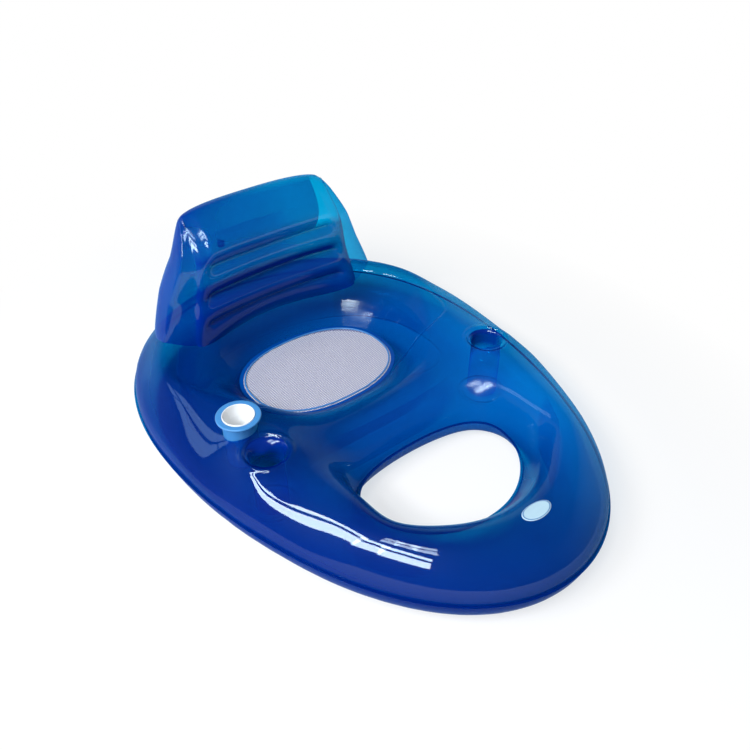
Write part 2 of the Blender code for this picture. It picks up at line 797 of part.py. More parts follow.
def add_cup_wells(chair, skin, blue):
    """A film sleeve and a floor disc welded under a round hole in each arm."""
    land = LAND_HEIGHT_SHARE * HULL_HEIGHT
    top = land - FILM - GAP
    foot = WELL_FLOOR_HEIGHT + FILM + GAP
    flange = WELL_RADIUS + WELL_LAND - FILM
    outer = WELL_RADIUS + FILM
    sleeve = (
        (flange, top), (flange, top - FILM), (outer, top - FILM), (outer, foot),
        (WELL_RADIUS, foot), (WELL_RADIUS, top),
    )
    disc = ((0.0, foot - GAP), (outer, foot - GAP), (outer, foot - GAP - FILM), (0.0, foot - GAP - FILM))
    middle = well_middle()
    for side, name in ((1, "left"), (-1, "right")):
        place = upright_place(Vector((side * middle.x, middle.y)))
        turned(chair, f"cup_well_sleeve_{name}", sleeve, blue, place)
        turned(chair, f"cup_well_floor_{name}", disc, blue, place, closed=False)
        hole = drill(chair, f"cup_well_hole_{name}", WELL_RADIUS, land - CUT_OVERRUN, land + CUT_OVERRUN, place)
        cut(skin, hole)


def add_cup_holder(chair, skin, inside, blue, cyan, white):
    """The flanged holder in its film socket, and the liner that lifts out of it."""
    place = upright_place(holder_middle())
    top = HULL_HEIGHT + HOLDER_RISE
    base = top - HOLDER_HEIGHT
    bore = HOLDER_RADIUS - HOLDER_WALL
    rounding = HOLDER_FLANGE_THICKNESS / 3
    holder = (
        (0.0, base + HOLDER_WALL), (bore, base + HOLDER_WALL), (bore, top),
        (HOLDER_FLANGE_RADIUS - rounding, top), (HOLDER_FLANGE_RADIUS, top - rounding),
        (HOLDER_FLANGE_RADIUS, top - HOLDER_FLANGE_THICKNESS + rounding),
        (HOLDER_FLANGE_RADIUS - rounding, top - HOLDER_FLANGE_THICKNESS),
        (HOLDER_RADIUS, top - HOLDER_FLANGE_THICKNESS), (HOLDER_RADIUS, base), (0.0, base),
    )
    turned(chair, "cup_holder", holder, cyan, place, closed=False)

    liner_radius = bore - GAP
    liner_bore = liner_radius - LINER_WALL
    liner_base = base + HOLDER_WALL + GAP
    rim = top + LINER_RIM_RISE
    liner = (
        (0.0, liner_base + LINER_WALL), (liner_bore, liner_base + LINER_WALL),
        (liner_bore, rim - LINER_WALL / 2), (liner_bore + LINER_WALL / 2, rim),
        (liner_radius, rim - LINER_WALL / 2), (liner_radius, liner_base), (0.0, liner_base),
    )
    turned(chair, "cup_liner", liner, white, place, closed=False)

    socket_bore = HOLDER_RADIUS + GAP
    socket = socket_bore + FILM
    foot = base - GAP
    sleeve = ((socket, top), (socket, foot), (socket_bore, foot), (socket_bore, top))
    tube = turned(chair, "cup_socket_sleeve", sleeve, blue, place)
    cut(tube, inside, "INTERSECT")
    disc = ((0.0, foot - GAP), (socket, foot - GAP), (socket, foot - GAP - FILM), (0.0, foot - GAP - FILM))
    turned(chair, "cup_socket_floor", disc, blue, place, closed=False)
    hole = drill(chair, "cup_socket_hole", socket_bore, HULL_HEIGHT / 2, HULL_HEIGHT + CUT_OVERRUN, place)
    cut(skin, hole)


def strip_mesh(name, path):
    """An upright film strip along a path in plan, taller than the hull."""
    bm = bmesh.new()
    foot = [bm.verts.new((point.x, point.y, -CUT_OVERRUN)) for point in path]
    head = [bm.verts.new((point.x, point.y, HULL_HEIGHT + CUT_OVERRUN)) for point in path]
    for index in range(len(path) - 1):
        bm.faces.new((foot[index], foot[index + 1], head[index + 1], head[index]))
    return mesh_from(name, bm)


def add_strips(chair, inside, blue):
    """Film strips that tie the upper skin to the lower one and so shape the hull."""
    reach = STRIP_REACH_SHARE * HULL_WIDTH / 2
    paths = {}
    for name, share in (("crossbar_strip_rear", REAR_STRIP_SHARE), ("crossbar_strip_front", FRONT_STRIP_SHARE)):
        along = share * HULL_LENGTH / 2
        paths[name] = [Vector((-reach, along)), Vector((reach, along))]
    valley = [point.xy for point in station_ring(VALLEY_SHARES, (0.0,) * len(STATION_ANGLES))]
    crest = [point.xy for point in station_ring(CREST_SHARES, (0.0,) * len(STATION_ANGLES))]
    seat_side = valley[2 : WELL_STATION - 1]
    leg_side = [
        outer.lerp(inner, 0.5) for outer, inner in zip(crest[WELL_STATION + 2 :], valley[WELL_STATION + 2 :])
    ][:-2]
    for side, word in ((1, "left"), (-1, "right")):
        paths[f"seat_side_strip_{word}"] = [Vector((side * point.x, point.y)) for point in seat_side]
        paths[f"leg_side_strip_{word}"] = [Vector((side * point.x, point.y)) for point in leg_side]
    for name, path in paths.items():
        strip = chair.piece(name, strip_mesh(name, path), blue)
        thicken(strip, FILM, 0.0)
        cut(strip, inside, "INTERSECT")


def outline_mesh(name, points, low, high):
    """A closed prism over an outline in plan."""
    bm = bmesh.new()
    face = bm.faces.new([bm.verts.new((point.x, point.y, low)) for point in points])
    bm.normal_update()
    if face.normal.z > 0:
        face.normal_flip()
    grown = bmesh.ops.extrude_face_region(bm, geom=[face])
    lifted_points = [item for item in grown["geom"] if isinstance(item, bmesh.types.BMVert)]
    bmesh.ops.translate(bm, verts=lifted_points, vec=(0.0, 0.0, high - low))
    bmesh.ops.recalc_face_normals(bm, faces=bm.faces)
    mesh = bpy.data.meshes.new(name)
    bm.to_mesh(mesh)
    bm.free()
    return mesh


def full_turn(edge, grow, count):
    return [edge(360 * index / count, grow) for index in range(count)]


def add_seat_mesh(chair, lilac, cyan):
    """The net panel clamped in the seat seam, and the welt bead round its edge."""
    low = INNER_SEAM_HEIGHT - MESH_THICKNESS / 2
    middle = SEAT_MIDDLE_SHARE * HULL_LENGTH / 2
    clamp = SEAT_FLANGE_WIDTH - 2 * GAP
    across = math.ceil((SEAT_WIDTH / 2 + clamp + MESH_PITCH) / MESH_PITCH)
    along = math.ceil((SEAT_LENGTH / 2 + clamp + MESH_PITCH) / MESH_PITCH)
    bm = bmesh.new()
    bmesh.ops.create_grid(bm, x_segments=2 * across, y_segments=2 * along, size=1.0)
    bmesh.ops.scale(bm, verts=bm.verts, vec=(across * MESH_PITCH, along * MESH_PITCH, 1.0))
    bmesh.ops.translate(bm, verts=bm.verts, vec=(0.0, middle, INNER_SEAM_HEIGHT))
    rim = full_turn(seat_edge, -MESH_STRAND, WELT_POINTS)
    open_cells = [face for face in bm.faces if all(inside_outline(vertex.co, rim) for vertex in face.verts)]
    bmesh.ops.inset_individual(bm, faces=open_cells, thickness=MESH_STRAND / 2)
    bmesh.ops.delete(bm, geom=open_cells, context="FACES")
    net = chair.piece("seat_mesh", mesh_from("seat_mesh", bm), lilac)
    thicken(net, MESH_THICKNESS, 0.0)
    outline = full_turn(seat_edge, clamp, WELT_POINTS)
    rim_cutter = outline_mesh("seat_mesh_outline", outline, low - CUT_OVERRUN, low + CUT_OVERRUN)
    cut(net, chair.cutter("seat_mesh_outline", rim_cutter), "INTERSECT")

    curve = bpy.data.curves.new("mesh_welt", "CURVE")
    curve.dimensions = "3D"
    curve.bevel_depth = WELT_RADIUS
    curve.bevel_resolution = 1
    spline = curve.splines.new("POLY")
    bead = full_turn(seat_edge, -WELT_INSET, WELT_POINTS)
    spline.points.add(len(bead) - 1)
    height = INNER_SEAM_HEIGHT + MESH_THICKNESS / 2 + GAP + WELT_RADIUS
    for point, place in zip(spline.points, bead):
        point.co = (place.x, place.y, height, 1.0)
    spline.use_cyclic_u = True
    guide = bpy.data.objects.new("mesh_welt_guide", curve)
    bpy.context.scene.collection.objects.link(guide)
    mesh = evaluated(guide)
    bpy.data.objects.remove(guide, do_unlink=True)
    chair.piece("mesh_welt", mesh, cyan)


def inside_outline(point, outline):
    """True where a point lies inside a closed outline in plan."""
    inside = False
    for start, end in zip(outline, outline[1:] + outline[:1]):
        if (start.y > point.y) != (end.y > point.y):
            crossing = start.x + (point.y - start.y) * (end.x - start.x) / (end.y - start.y)
            if point.x < crossing:
                inside = not inside
    return inside


def add_backrest(chair, outside, blue):
    """The backrest's two panels and the three film strips that weld its grooves to the rear panel.

    Returns the pieces, the rear panel first.
    """
    inside = chair.cutter("backrest_inside", backrest_volume_mesh(-(FILM + 2 * GAP)))
    front, rear = backrest_panels()
    front_panel = chair.piece("backrest_front_panel", mesh_from("backrest_front_panel", front), blue)
    rear_panel = chair.piece("backrest_rear_panel", mesh_from("backrest_rear_panel", rear), blue)
    for panel in (front_panel, rear_panel):
        thicken(panel, FILM)
        cut(panel, outside)
    pieces = [rear_panel, front_panel]
    rows, stops = backrest_rows()
    for number, share in enumerate(stops[1:-1], start=1):
        bm = bmesh.new()
        left = front_point(share, -GROOVE_HALF_SHARE, stops)
        right = front_point(share, GROOVE_HALF_SHARE, stops)
        depth = BACKREST_BASE_DEPTH + CUT_OVERRUN
        near = min(left.y, right.y) - RIB_DEPTH
        corners = (
            (left.x, near, left.z), (right.x, near, right.z),
            (right.x, near + 2 * depth, right.z), (left.x, near + 2 * depth, left.z),
        )
        bm.faces.new([bm.verts.new(corner) for corner in corners])
        strip = chair.piece(f"backrest_strip_{number}", mesh_from(f"backrest_strip_{number}", bm), blue)
        thicken(strip, FILM, 0.0)
        cut(strip, inside, "INTERSECT")
        pieces.append(strip)
    return pieces


def facet_place(mesh, target):
    """The middle and outward normal of the facet nearest to a target, as a place with +Z outwards."""
    nearest = min(mesh.polygons, key=lambda polygon: (polygon.center - target).length)
    turn_to = nearest.normal.to_track_quat("Z", "Y")
    return Matrix.Translation(nearest.center) @ turn_to.to_matrix().to_4x4()


def add_valve(chair, name, skin, place, clear):
    """A valve welded on its skin: the flanged neck, the check flap under it and the stopper in it.

    Returns the pieces and the empty that stand on the skin.
    """
    body = (
        (VALVE_FLANGE_RADIUS, GAP + VALVE_SHEET), (VALVE_FLANGE_RADIUS, GAP),
        (VALVE_NECK_RADIUS, GAP), (VALVE_NECK_RADIUS, -VALVE_NECK_DEPTH),
        (VALVE_BORE_RADIUS, -VALVE_NECK_DEPTH), (VALVE_BORE_RADIUS, VALVE_NECK_HEIGHT),
        (VALVE_NECK_RADIUS, VALVE_NECK_HEIGHT), (VALVE_NECK_RADIUS, GAP + VALVE_SHEET),
    )
    neck = turned(chair, f"{name}_valve_body", body, clear, place, SMALL_STEPS)
    flap_top = -VALVE_NECK_DEPTH - GAP
    flap_low = flap_top - FLAP_THICKNESS
    flap_radius = (VALVE_NECK_RADIUS + VALVE_BORE_RADIUS) / 2
    disc = ((0.0, flap_top), (flap_radius, flap_top), (flap_radius, flap_low), (0.0, flap_low))
    flap = turned(chair, f"{name}_valve_flap", disc, clear, place, SMALL_STEPS, closed=False)
    flap_edge = place @ Matrix.Translation((flap_radius, 0.0, flap_top))
    flap_hinge = joint_axis(chair, f"{name}_valve_flap_hinge", flap_edge, (flap,))
    seat = VALVE_NECK_HEIGHT + GAP
    plug_radius = VALVE_BORE_RADIUS - GAP
    stopper = (
        (0.0, seat + STOPPER_CAP_HEIGHT), (STOPPER_CAP_RADIUS, seat + STOPPER_CAP_HEIGHT),
        (STOPPER_CAP_RADIUS, seat), (plug_radius, seat), (plug_radius, seat - STOPPER_PLUG_LENGTH),
        (0.0, seat - STOPPER_PLUG_LENGTH),
    )
    plug = turned(chair, f"{name}_valve_stopper", stopper, clear, place, SMALL_STEPS, closed=False)
    hole = drill(chair, f"{name}_valve_hole", VALVE_NECK_RADIUS + GAP, -VALVE_NECK_DEPTH, VALVE_NECK_HEIGHT, place)
    cut(skin, hole)
    return neck, plug, flap_hinge


def add_label(chair, upper, white):
    """A bare oval plate that follows the foot roll's top."""
    bm = bmesh.new()
    bm.from_mesh(upper)
    bm.normal_update()
    middle = Vector((0.0, LABEL_ALONG_SHARE * HULL_LENGTH / 2))
    reach = LABEL_LENGTH
    far = [face for face in bm.faces if (face.calc_center_median().xy - middle).length > reach]
    bmesh.ops.delete(bm, geom=far, context="FACES")
    moves = [vertex.normal * GAP for vertex in bm.verts]
    for vertex, move in zip(bm.verts, moves):
        vertex.co += move
    plate = chair.piece("oval_label", mesh_from("oval_label", bm), white)
    thicken(plate, LABEL_THICKNESS, 1.0)
    outline = []
    for index in range(ROUND_STEPS):
        angle = 2 * math.pi * index / ROUND_STEPS
        outline.append(middle + Vector((LABEL_LENGTH / 2 * math.cos(angle), LABEL_WIDTH / 2 * math.sin(angle))))
    shape = outline_mesh("label_outline", outline, HULL_HEIGHT / 2, HULL_HEIGHT + CUT_OVERRUN)
    cut(plate, chair.cutter("label_outline", shape), "INTERSECT")


def main():
    clear_scene()
    chair = Chair()
    blue = new_material("blue_film", BLUE, 0.12, 0.85)
    cyan = new_material("cyan_vinyl", CYAN, 0.25)
    lilac = new_material("lilac_net", MESH_LILAC, 0.8)
    white = new_material("white_plastic", WHITE, 0.3)
    clear = new_material("clear_vinyl", CLEAR, 0.2, 0.6)

    skin, floor, inside, outside = add_hull(chair, blue)
    upper = skin.data.copy()
    add_cup_wells(chair, skin, blue)
    add_cup_holder(chair, skin, inside, blue, cyan, white)
    add_strips(chair, inside, blue)
    add_seat_mesh(chair, lilac, cyan)
    backrest = add_backrest(chair, outside, blue)
    add_label(chair, upper, white)
    heel = FRONT_LINE_SHARES[0] * HULL_LENGTH / 2 + BACKREST_BASE_DEPTH
    behind = Vector((0.0, heel + HULL_VALVE_SETBACK, HULL_HEIGHT))
    add_valve(chair, "hull", skin, facet_place(upper, behind), clear)
    back = Vector((0.0, HULL_LENGTH / 2, (HULL_HEIGHT + BACKREST_TOP) / 2))
    rear_panel = backrest[0]
    backrest += add_valve(chair, "backrest", rear_panel, facet_place(rear_panel.data, back), clear)
    hinge = upright_place(Vector((0.0, heel)), BACKREST_HINGE_HEIGHT)
    joint_axis(chair, "backrest_hinge", hinge, backrest)


main()
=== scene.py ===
import math

import bmesh
import bpy
import numpy as np
from mathutils import Matrix, Vector
from mathutils.bvhtree import BVHTree


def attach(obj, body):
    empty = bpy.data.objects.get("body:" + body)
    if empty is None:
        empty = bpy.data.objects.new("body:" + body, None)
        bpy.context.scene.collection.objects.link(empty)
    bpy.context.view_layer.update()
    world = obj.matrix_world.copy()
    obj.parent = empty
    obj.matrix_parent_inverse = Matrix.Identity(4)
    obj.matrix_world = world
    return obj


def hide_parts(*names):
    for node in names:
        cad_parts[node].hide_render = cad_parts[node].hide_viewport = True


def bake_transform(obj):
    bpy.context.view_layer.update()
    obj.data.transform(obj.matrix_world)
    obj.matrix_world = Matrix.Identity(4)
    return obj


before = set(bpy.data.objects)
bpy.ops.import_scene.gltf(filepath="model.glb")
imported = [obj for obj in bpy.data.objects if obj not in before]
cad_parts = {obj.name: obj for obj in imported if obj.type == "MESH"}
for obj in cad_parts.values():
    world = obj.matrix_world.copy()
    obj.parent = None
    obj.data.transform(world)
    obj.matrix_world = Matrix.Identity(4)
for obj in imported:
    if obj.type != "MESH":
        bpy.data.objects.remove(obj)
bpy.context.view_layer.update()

# Inflatable pool chair: a film hull with a net seat, a leg opening, two cup wells and a cup holder,
# and a ribbed backrest. Metres, +Z up, +Y towards the backrest. The sizes repeat the CAD model's.

# Film and clearances
FILM = 0.0004
GAP = 0.0003
MERGE = 0.0001

# Hull
HULL_LENGTH = 1.50
HULL_WIDTH = 1.102
HULL_HEIGHT = 0.196
ROLL_RADIUS = 0.08
OUTER_SEAM_HEIGHT = 0.085
INNER_SEAM_HEIGHT = 0.066
FLANGE_WIDTH = 0.006
SEAT_FLANGE_WIDTH = 0.010
CONTACT_DEPTH = 0.004
EGG_SHARE = 0.179
EGG_ROUNDING_SHARE = 0.049

# Seat opening and its mesh
SEAT_LENGTH = 0.338
SEAT_WIDTH = 0.458
SEAT_MIDDLE_SHARE = 0.299
SEAT_SQUARENESS = 2.3
MESH_THICKNESS = 0.0008
WELT_RADIUS = 0.0025
WELT_INSET = 0.0055

# Leg opening
LEG_LENGTH = 0.300
LEG_WIDTH = 0.438
LEG_MIDDLE_SHARE = -0.465
LEG_EGG_SHARE = 0.24
LEG_SQUARENESS = 2.3

# Crossbar between the two openings, as shares of the hull's height
CROSSBAR_REAR_SHARE = 0.62
CROSSBAR_CREST_SHARE = 0.80
CROSSBAR_FRONT_SHARE = 0.66

# Moulded cup wells, one in each arm
WELL_RADIUS = 0.043
WELL_FLOOR_HEIGHT = 0.010
WELL_LAND = 0.011
WELL_RIM_WIDTH = 0.044
WELL_RIM_RISE = 0.008
WELL_ACROSS_SHARE = 0.666
WELL_ALONG_SHARE = -0.128

# Cup holder in the sitter's right arm, with its loose liner
HOLDER_RADIUS = 0.043
HOLDER_WALL = 0.002
HOLDER_HEIGHT = 0.140
HOLDER_FLANGE_RADIUS = 0.056
HOLDER_FLANGE_THICKNESS = 0.006
HOLDER_RISE = 0.036
HOLDER_ACROSS_SHARE = 0.680
HOLDER_ALONG_SHARE = 0.018
LINER_WALL = 0.0025
LINER_RIM_RISE = 0.0015

# Backrest
BACKREST_TOP = 0.519
BACKREST_FOOT = 0.10
BACKREST_BASE_WIDTH = 0.735
BACKREST_TOP_WIDTH = 0.452
BACKREST_BASE_DEPTH = 0.215
BACKREST_SQUARENESS = 3.2
BACKREST_SEAM_INSET = 0.086
BACKREST_CHEEK_DEPTH = 0.055
BACKREST_HOLLOW = 0.110
RIB_DEPTH = 0.026
GROOVE_HEIGHTS = (0.213, 0.298, 0.391)
GROOVE_HALF_SHARE = 0.86

# Air valves
VALVE_FLANGE_RADIUS = 0.013
VALVE_NECK_RADIUS = 0.0075
VALVE_BORE_RADIUS = 0.0055
VALVE_NECK_HEIGHT = 0.009
VALVE_NECK_DEPTH = 0.008
VALVE_SHEET = 0.0012
STOPPER_CAP_RADIUS = 0.0085
STOPPER_CAP_HEIGHT = 0.0025
STOPPER_PLUG_LENGTH = 0.007
FLAP_THICKNESS = 0.0008

# Oval plate on the foot roll
LABEL_LENGTH = 0.082
LABEL_WIDTH = 0.044
LABEL_ALONG_SHARE = -0.825

# How finely the soft forms are divided
HULL_LEVELS = 3
FIT_ROUNDS = 8
NEIGHBOUR_SHARE = 0.16667

# Hull cage: one station an entry, from the middle of the rear to the middle of the foot.
# Angles are in degrees round the egg. The shares run from the outer seam to the opening's seam.
STATION_ANGLES = (0, 15, 30, 45, 60, 75, 90, 97.5, 105, 120, 135, 150, 165, 180)
WELL_STATION = 7
BEFORE_WELL = WELL_STATION - 1
AFTER_WELL = WELL_STATION + 1
SEAT_ANGLES = (0, 22, 44, 64, 83, 101, 120, 150, 180)
LEG_ANGLES = (0, 34, 60, 82, 106, 131, 156, 180)
CREST_SHARES = (0.34, 0.34, 0.33, 0.31, 0.29, 0.30, 0, 0, 0, 0.38, 0.43, 0.46, 0.47, 0.47)
VALLEY_SHARES = (0.60, 0.58, 0.53, 0.46, 0.41, 0.42, 0, 0, 0, 0.63, 0.70, 0.74, 0.76, 0.76)
VALLEY_HEIGHT_SHARES = (
    0.94, 0.93, 0.91, 0.89, 0.88, 0.90, 0.93, 0.90, 0.90, 0.89, 0.88, 0.88, 0.88, 0.88,
)
BOWL_HEIGHT_SHARES = (0.78, 0.78, 0.77, 0.76, 0.76, 0.78, 0.76, 0.50, 0.48)
BOWL_FOOT_HEIGHT_SHARES = (0.53, 0.53, 0.53, 0.53, 0.53, 0.53, 0.50, 0.42, 0.41)
BOWL_SHARE = 0.48
BOWL_FOOT_SHARE = 0.80
LEG_WALL_SHARE = 0.58
LEG_WALL_HEIGHT_SHARE = 0.54
SHOULDER_INSET = 0.045
SHOULDER_HEIGHT_SHARE = 0.78
CREST_HEIGHT_SHARE = 1.04
RISE_HEIGHT_SHARE = 0.31
LAND_HEIGHT_SHARE = 0.955
CROSSBAR_HALF_SHARE = 0.14
CROSSBAR_REAR_ALONG_SHARE = -0.017
CROSSBAR_CREST_ALONG_SHARE = -0.110
CROSSBAR_FRONT_ALONG_SHARE = -0.205
KEEL_INSET = 0.050
KEEL_MIDDLE_SHARE = 0.50
KEEL_INNER_SHARE = 0.84
KEEL_WALL_HEIGHT_SHARE = 0.23
KEEL_INNER_HEIGHT_SHARE = 0.08

# Backrest's taper from its foot to its top, and the rounding of its ribs
STRAIGHT_SHARE = 0.20
TAPER_POWER = 1.15
SEAM_POWER = 1.5
SWELL_POWER = 4.0
TOP_DROP_SHARE = 0.40
TOP_DROP_POWER = 6
RIB_POWER = 0.7
RIB_END_POWER = 5
TOP_RIB_SHARE = 0.30
GROOVE_FADE_SHARE = 0.07

# Backrest's front line and hollow at its foot, its three grooves and its top. The line's shares are of
# half the hull's length, the hollow's of the greatest hollow.
FRONT_LINE_SHARES = (0.552, 0.565, 0.578, 0.568, 0.676)
HOLLOW_SHARES = (1.0, 0.24, 0.22, 0.08, 0.18)

# Places and heights worked out from the sizes
STATIONS = len(STATION_ANGLES)
SEAM_HALF = FILM + GAP / 2
MESH_SEAM_HALF = FILM + GAP + MESH_THICKNESS / 2
SEAT_MIDDLE = SEAT_MIDDLE_SHARE * HULL_LENGTH / 2
LEG_MIDDLE = LEG_MIDDLE_SHARE * HULL_LENGTH / 2
LABEL_MIDDLE = LABEL_ALONG_SHARE * HULL_LENGTH / 2
WELL_MIDDLE = Vector((WELL_ACROSS_SHARE * HULL_WIDTH / 2, WELL_ALONG_SHARE * HULL_LENGTH / 2))
WELL_TOP = LAND_HEIGHT_SHARE * HULL_HEIGHT
HOLDER_MIDDLE = Vector((-HOLDER_ACROSS_SHARE * HULL_WIDTH / 2, HOLDER_ALONG_SHARE * HULL_LENGTH / 2))
HOLDER_TOP = HULL_HEIGHT + HOLDER_RISE
HOLDER_BASE = HOLDER_TOP - HOLDER_HEIGHT
HOLDER_BORE = HOLDER_RADIUS - HOLDER_WALL

# Soft film: the rounded foot roll, the wells' lips and sagging walls, the creases and the puckers. A pinch
# is the share of its radius by which one side of a well's wall sags in, first in the sitter's left arm.
# Left and right are the sitter's.
FOOT_CREST_HEIGHT = 0.191
FOOT_ROUND_FROM = -0.33
FOOT_ROUND_FADE = 0.14
FOOT_ROUND_RIGHT_SHARE = 0.55
FOOT_ROUND_LEFT_SHARE = 0.20
LIP_WIDTH = 0.010
LIP_DEPTH = 0.014
LIP_STEPS = 8
WELL_WALL_STEPS = 28
PINCH_LOW_SHARE = 0.60
PINCH_HIGH_SHARE = 0.93
PINCH_SHARES = (0.85, 0.50)
PINCH_ANGLES = (246, 75)
CUT_OVERRUN = 0.02
MOUTH_SLOPE = 0.002
# Where the crease round the seat's bowl leaves the roll and crosses in front of the seat
BOWL_FRONT = ((0.364, 0.082), (0.182, 0.070))
INNER_CREASE = 0.058
LEG_CREASE = 0.040
RING_SPACING = 0.02
PUCKER_REACH = 0.010
PUCKER_DEPTH = 0.0003
SEAM_OVERLAP = 0.001

# Backrest's grid, its soft cheeks, and where its film passes from the hull's body to the backrest's
PANEL_COLUMNS = 72
PANEL_ROWS = 16
COLUMN_POWER = 1.6
TOP_CURVE_POWER = 1.6
FOOT_SEARCH_ROUNDS = 24
CHEEK_SHARE = 0.84
CHEEK_ROUNDS = 32

# Weave of the seat net
NET_PITCH = 0.0062
NET_STRAND = 0.0026
NET_SAG = 0.004
NET_SPACING = 0.01

# Rounded edges of the moulded pieces
PLATE_RISE = 0.0012
PLATE_STEPS = 24
HOLDER_ROUNDING = 0.0024
LINER_ROUNDING = 0.0030
NECK_ROUNDING = 0.0005
STOPPER_ROUNDING = 0.0006
FLAP_ROUNDING = 0.0003

# Where the two valves stand on the film: each one's middle, and its X, Y and Z directions
HULL_VALVE = (
    (0.03962, 0.67916, 0.16657), (-0.9972, 0.0746, 0.0), (-0.0626, -0.8369, 0.5438),
    (0.0405, 0.5423, 0.8392),
)
BACKREST_VALVE = (
    (-0.06909, 0.61832, 0.33287), (-0.9996, -0.0271, 0.0), (0.0058, -0.2142, 0.9768),
    (-0.0265, 0.9764, 0.2142),
)

# Colours
HULL_TINT = (0.003, 0.71, 0.96, 1.0)
BACKREST_TINT = (0.010, 0.72, 0.96, 1.0)
PALE_TINT = (0.45, 0.90, 0.98, 1.0)
TIE_TINT = (0.40, 0.83, 0.94, 1.0)
CLEAR = (1.0, 1.0, 1.0, 1.0)
DEEP = (0.0, 0.023, 0.25, 1.0)
PANEL_DEEP = (0.0, 0.028, 0.33, 1.0)
GLOSS = (0.78, 0.93, 1.0, 1.0)
GRAZING_GLOSS = (0.06, 0.46, 0.86, 1.0)
CLAMP_BLUE = (0.0, 0.07, 0.36, 1.0)
BEAD_BLUE = (0.05, 0.24, 0.60, 1.0)
HOLDER_CYAN = (0.07, 0.29, 0.66, 1.0)
LINER_WHITE = (0.95, 0.96, 0.97, 1.0)
VALVE_CLEAR = (0.35, 0.74, 0.93, 1.0)
NET_PALE = (0.42, 0.42, 0.61, 1.0)
NET_DARK = (0.24, 0.24, 0.38, 1.0)
LABEL_PALE = (0.53, 0.73, 0.84, 1.0)
LABEL_SHADE = (0.46, 0.66, 0.80, 1.0)
LABEL_LINE = (0.02, 0.15, 0.45, 1.0)

# Painted shade in the hull's film, and how far it reaches in from each seam: deeper over the foot's near
# side, towards the rear, beside the seams and in the wells' mouths, and paler down the pockets' walls. A
# cloud has a
# middle, a reach and an amount: above 0 a darker patch, below 0 a paler one. The haze and the grazing share
# are the film's own.
FOOT_SHADE = 0.38
REAR_SHADE = 0.09
SEAT_SHADE = 0.20
SEAT_SHADE_REACH = 0.07
LEG_SHADE = 0.22
LEG_SHADE_REACH = 0.03
OUTER_SHADE = 0.40
OUTER_SHADE_REACH = 0.05
POCKET_PALING = -0.60
MOUTH_SHADE = 1.50
HULL_HAZE = 0.03
WELD_HAZE = 0.45
GRAZING_DYE = 0.60
CLOUDS = ((0.22, -0.04, 0.13, 0.24), (-0.16, -0.15, 0.09, -0.16))
CLOUD_FLOOR = 0.08
# The level way from the photo's near side to its far side
FAR_WAY = (0.62, 0.79)

# Each pocket's middle, radius and foot: the two wells and the holder's socket
MOUTH_RADIUS = WELL_RADIUS + LIP_WIDTH - GAP
POCKETS = [(side * WELL_MIDDLE.x, WELL_MIDDLE.y, MOUTH_RADIUS, WELL_FLOOR_HEIGHT) for side in (1, -1)]
POCKETS.append((*HOLDER_MIDDLE, HOLDER_RADIUS + 2 * GAP, HOLDER_BASE - 2 * GAP))

# The film's waves, gloss and bead. A soft spot has a middle and a reach, and shines less sharply. In the
# oval of the seat's bowl the film hardly shines.
FILM_WAVE = 0.0006
FILM_GLOSS = 0.042
EDGE_GLOSS = 0.5
FILM_ROUGHNESS = 0.035
SPOT_ROUGHNESS = 0.15
SOFT_SPOTS = ((0.247, -0.205, 0.07), (0.235, 0.335, 0.06), (-0.21, 0.51, 0.05))
BOWL_REACH = (0.30, 0.24)
BOWL_MIDDLE = 0.224
WELL_BEAD = 0.062
BEAD_RISE = 0.005

# Camera: where it stands in degrees, how far from the point that it looks at, and its focal length
AZIMUTH = 218.21
ELEVATION = 38.79
CAMERA_TARGET = (0.1609, 0.1568, 0.0)
CAMERA_DISTANCE = 2.318
FOCAL_PIXELS = 752.35
PHOTO_PIXELS = 750
SENSOR = 36.0

# Studio: the floor, the round backdrop and the window panes. A window's entry has its number, then its
# azimuth, its width and the elevations of its low and its high pane in degrees.
STAGE_RADIUS = 7.0
BACKDROP_HEIGHT = 4.5
FLOOR_DROP = 0.001
FLOOR_WHITE = 0.65
WORLD_LIGHT = 0.05
PANE_REACH = 6.0
PANE_TARGET = (0.0, 0.0, 0.15)
DAYLIGHT = (0.93, 0.97, 1.0)
CURTAINED = (0.62, 0.79, 1.0)
WINDOW_LIGHT = 21.5
TOP_LIGHT = 11.0
CURTAIN_LIGHT = 2.6
WINDOW_PANES = ((0, -122, 18.5, 39.0, 47.0), (1, -100, 18.5, 40.5, 48.5), (2, -80.5, 15.0, 42.0, 50.5))
TOP_AZIMUTHS = (-133, -121, -109)
SIDE_AZIMUTHS = (-54, -41, -28)


# Shape helpers

def linked(name, data):
    """A new object of the scene."""
    obj = bpy.data.objects.new(name, data)
    bpy.context.scene.collection.objects.link(obj)
    return obj


def evaluated(obj):
    graph = bpy.context.evaluated_depsgraph_get()
    bpy.context.view_layer.update()
    return bpy.data.meshes.new_from_object(obj.evaluated_get(graph))


def signed_power(value, power):
    return math.copysign(abs(value) ** power, value)


def hull_edge(degrees, inset=0.0):
    """A point of the hull's egg-shaped plan, moved in from the outer seam by the inset."""
    angle = math.radians(degrees)
    long_half = HULL_LENGTH / 2 - ROLL_RADIUS
    wide_half = HULL_WIDTH / 2 - ROLL_RADIUS

    def middle(turned_to):
        swell = 1 + EGG_SHARE * math.cos(turned_to) + EGG_ROUNDING_SHARE * math.cos(2 * turned_to)
        return Vector((wide_half * math.sin(turned_to) * swell, long_half * math.cos(turned_to)))

    step = math.radians(0.5)
    along = middle(angle + step) - middle(angle - step)
    outward = Vector((-along.y, along.x)).normalized()
    return middle(angle) + outward * (ROLL_RADIUS - inset)


def opening_edge(degrees, grow, width, length, middle, squareness, egg_share=0.0):
    """A point of a rounded opening in plan. The egg share widens the end at 0 degrees."""
    angle = math.radians(degrees)
    power = 2 / squareness
    swell = 1 + egg_share * math.cos(angle)
    across = (width / 2 + grow) * signed_power(math.sin(angle), power) * swell
    return Vector((across, middle + (length / 2 + grow) * signed_power(math.cos(angle), power)))


